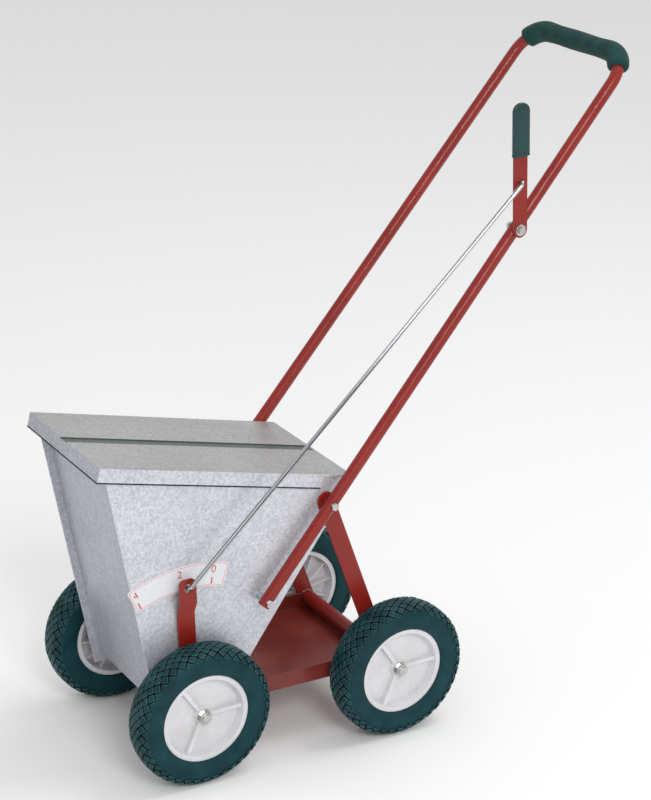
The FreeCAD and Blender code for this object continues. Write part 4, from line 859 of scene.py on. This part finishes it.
def make_gauge_border():
    """Thin line round the gauge."""
    mesh = bmesh.new()
    low = GAUGE_INNER + BORDER_INSET
    high = GAUGE_OUTER - BORDER_INSET
    front = GAUGE_FRONT - BORDER_MARGIN
    rear = BORDER_MARGIN - GAUGE_REAR
    band(mesh, low, low + BORDER_WIDTH, front, rear, BORDER_STEPS)
    band(mesh, high - BORDER_WIDTH, high, front, rear, BORDER_STEPS)
    for side in (front, rear + BORDER_TURN):
        band(mesh, low, high, side, side - BORDER_TURN, 1)
    data = finish_mesh(mesh, "gauge_border")
    add_piece("gauge_border", data, "gauge_line", "chassis")


def make_gauge_ticks():
    """A tick under each figure."""
    mesh = bmesh.new()
    low = GAUGE_INNER + TICK_START
    high = GAUGE_INNER + TICK_END
    for degrees in GAUGE_TICKS:
        band(mesh, low, high, degrees + TICK_HALF, degrees - TICK_HALF, 2)
    data = finish_mesh(mesh, "gauge_ticks")
    add_piece("gauge_ticks", data, "gauge_ink", "chassis")


def make_gauge_numbers():
    """Figures that stand along the gauge's arc."""
    for digit, degrees in GAUGE_NUMBERS:
        text = bpy.data.curves.new("gauge_number_" + digit, "FONT")
        text.body = digit
        text.size = NUMBER_SIZE
        text.extrude = NUMBER_DEPTH
        text.align_x = "CENTER"
        text.align_y = "CENTER"
        text.offset = NUMBER_THINNED
        piece = bpy.data.objects.new("gauge_number_" + digit, text)
        scene.collection.objects.link(piece)
        text.materials.append(PAINTS["gauge_ink"])
        place = gauge_point(GAUGE_OUTER - NUMBER_INSET, degrees, NUMBER_PROUD)
        upright = Matrix.Rotation(math.pi / 2, 4, "Z") @ Matrix.Rotation(math.pi / 2, 4, "X")
        lean = Matrix.Rotation(math.radians(degrees), 4, "X")
        piece.matrix_world = Matrix.Translation(place) @ lean @ upright
        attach(piece, "chassis")


# ---------------------------------------------------------------- lid

LID_HINGE = joint_places["lid_open"]
LID_TILT = math.radians(11.92)
LID_HALF = 110.0
LID_FRONT = 386.8
LID_NOTCH = 45.1
LID_TOP = 5.41
LID_DEPTH = 20.0
# painted shadow strip under the lid's lower edge and folded corner tabs, in millimetres
SHADOW_STRIP_PROUD = 0.25
SHADOW_STRIP_WALL = 1.7
SHADOW_STRIP_HALF = 0.9
SHADOW_STRIP_GAP = 0.5
TAB_PROUD = 0.45
TAB_SUNK = 0.4
TAB_START = 0.2
TAB_END = 9.0
TAB_FOOT = 1.2
TAB_TOP = 1.0


def lid_place(x, back, up):
    """Point in the lid's own frame, millimetres from the hinge axis."""
    turned = Matrix.Rotation(-LID_TILT, 3, "X") @ Vector((x, back, up))
    return LID_HINGE + turned * MM


def box_between(mesh, low, high, place):
    """Box between two corners of a local frame."""
    corners = ((low[0], low[1]), (high[0], low[1]), (high[0], high[1]), (low[0], high[1]))
    rings = [[place(x, y, z) for x, y in corners] for z in (low[2], high[2])]
    loft(mesh, rings)


def make_lid_gap_shadow():
    """Dark strip along the lower edge of the lid's front and sides: painted shadow of the gap between lid and
    hopper.
    """
    foot = LID_TOP - LID_DEPTH
    front = -LID_FRONT - SHADOW_STRIP_PROUD
    mesh = bmesh.new()
    for side in (1.0, -1.0):
        near = side * (LID_HALF + SHADOW_STRIP_PROUD)
        far = side * (LID_HALF - SHADOW_STRIP_WALL)
        low = (min(near, far), front, foot - SHADOW_STRIP_HALF)
        high = (max(near, far), -LID_NOTCH - SHADOW_STRIP_GAP, foot + SHADOW_STRIP_HALF)
        box_between(mesh, low, high, lid_place)
    low = (SHADOW_STRIP_WALL - LID_HALF, front, foot - SHADOW_STRIP_HALF)
    high = (LID_HALF - SHADOW_STRIP_WALL, -LID_FRONT + SHADOW_STRIP_WALL, foot + SHADOW_STRIP_HALF)
    box_between(mesh, low, high, lid_place)
    data = finish_mesh(mesh, "lid_shadow_strip")
    add_piece("lid_shadow_strip", data, "lid_painted_shadow", "lid")


def make_lid_seams():
    """Folded corner tabs where the front edge wraps round onto the sides."""
    foot = LID_TOP - LID_DEPTH
    mesh = bmesh.new()
    for side in (1.0, -1.0):
        near = side * (LID_HALF + TAB_PROUD)
        far = side * (LID_HALF - TAB_SUNK)
        low = (min(near, far), -LID_FRONT + TAB_START, foot + TAB_FOOT)
        high = (max(near, far), -LID_FRONT + TAB_END, LID_TOP - TAB_TOP)
        box_between(mesh, low, high, lid_place)
    data = finish_mesh(mesh, "lid_corner_tabs")
    # the tabs take the panels' lighter zinc, painted light like the lid's side edges
    add_piece("lid_corner_tabs", data, "zinc_sheet", "lid")


# ---------------------------------------------------------------- CAD nodes

EDGE_WIDTHS = {"hub": 0.0009, "red_paint": 0.0005, "zinc_plated": 0.0004}
SHEET_EDGE = 0.0003
LID_EDGE = 0.0007


def soften_edges():
    """Small rounded edges and clean shading on the CAD nodes."""
    slots = {part["node"]: part["material_slot"] for part in frame["record"]["subparts"]}
    for name, node in frame["nodes"].items():
        if node.hide_render:
            continue
        weld = node.modifiers.new("weld", "WELD")
        weld.merge_threshold = 0.00001
        flat = node.modifiers.new("flat", "DECIMATE")
        flat.decimate_type = "DISSOLVE"
        flat.angle_limit = math.radians(0.4)
        flat.delimit = {"MATERIAL"}
        bevel = node.modifiers.new("bevel", "BEVEL")
        bevel.width = LID_EDGE if name == "lid" else EDGE_WIDTHS.get(slots[name], SHEET_EDGE)
        bevel.segments = 2
        bevel.limit_method = "ANGLE"
        bevel.angle_limit = math.radians(35.0)
        shading = node.modifiers.new("shading", "WEIGHTED_NORMAL")
        shading.keep_sharp = False


# ---------------------------------------------------------------- the machine

scene.view_settings.view_transform = "Standard"
make_camera()
make_stage()
make_lights()
paint_frame()
make_tyres()
make_grip()
make_lever_grip()
make_gauge_border()
make_gauge_ticks()
make_gauge_numbers()
make_lid_gap_shadow()
make_lid_seams()
soften_edges()
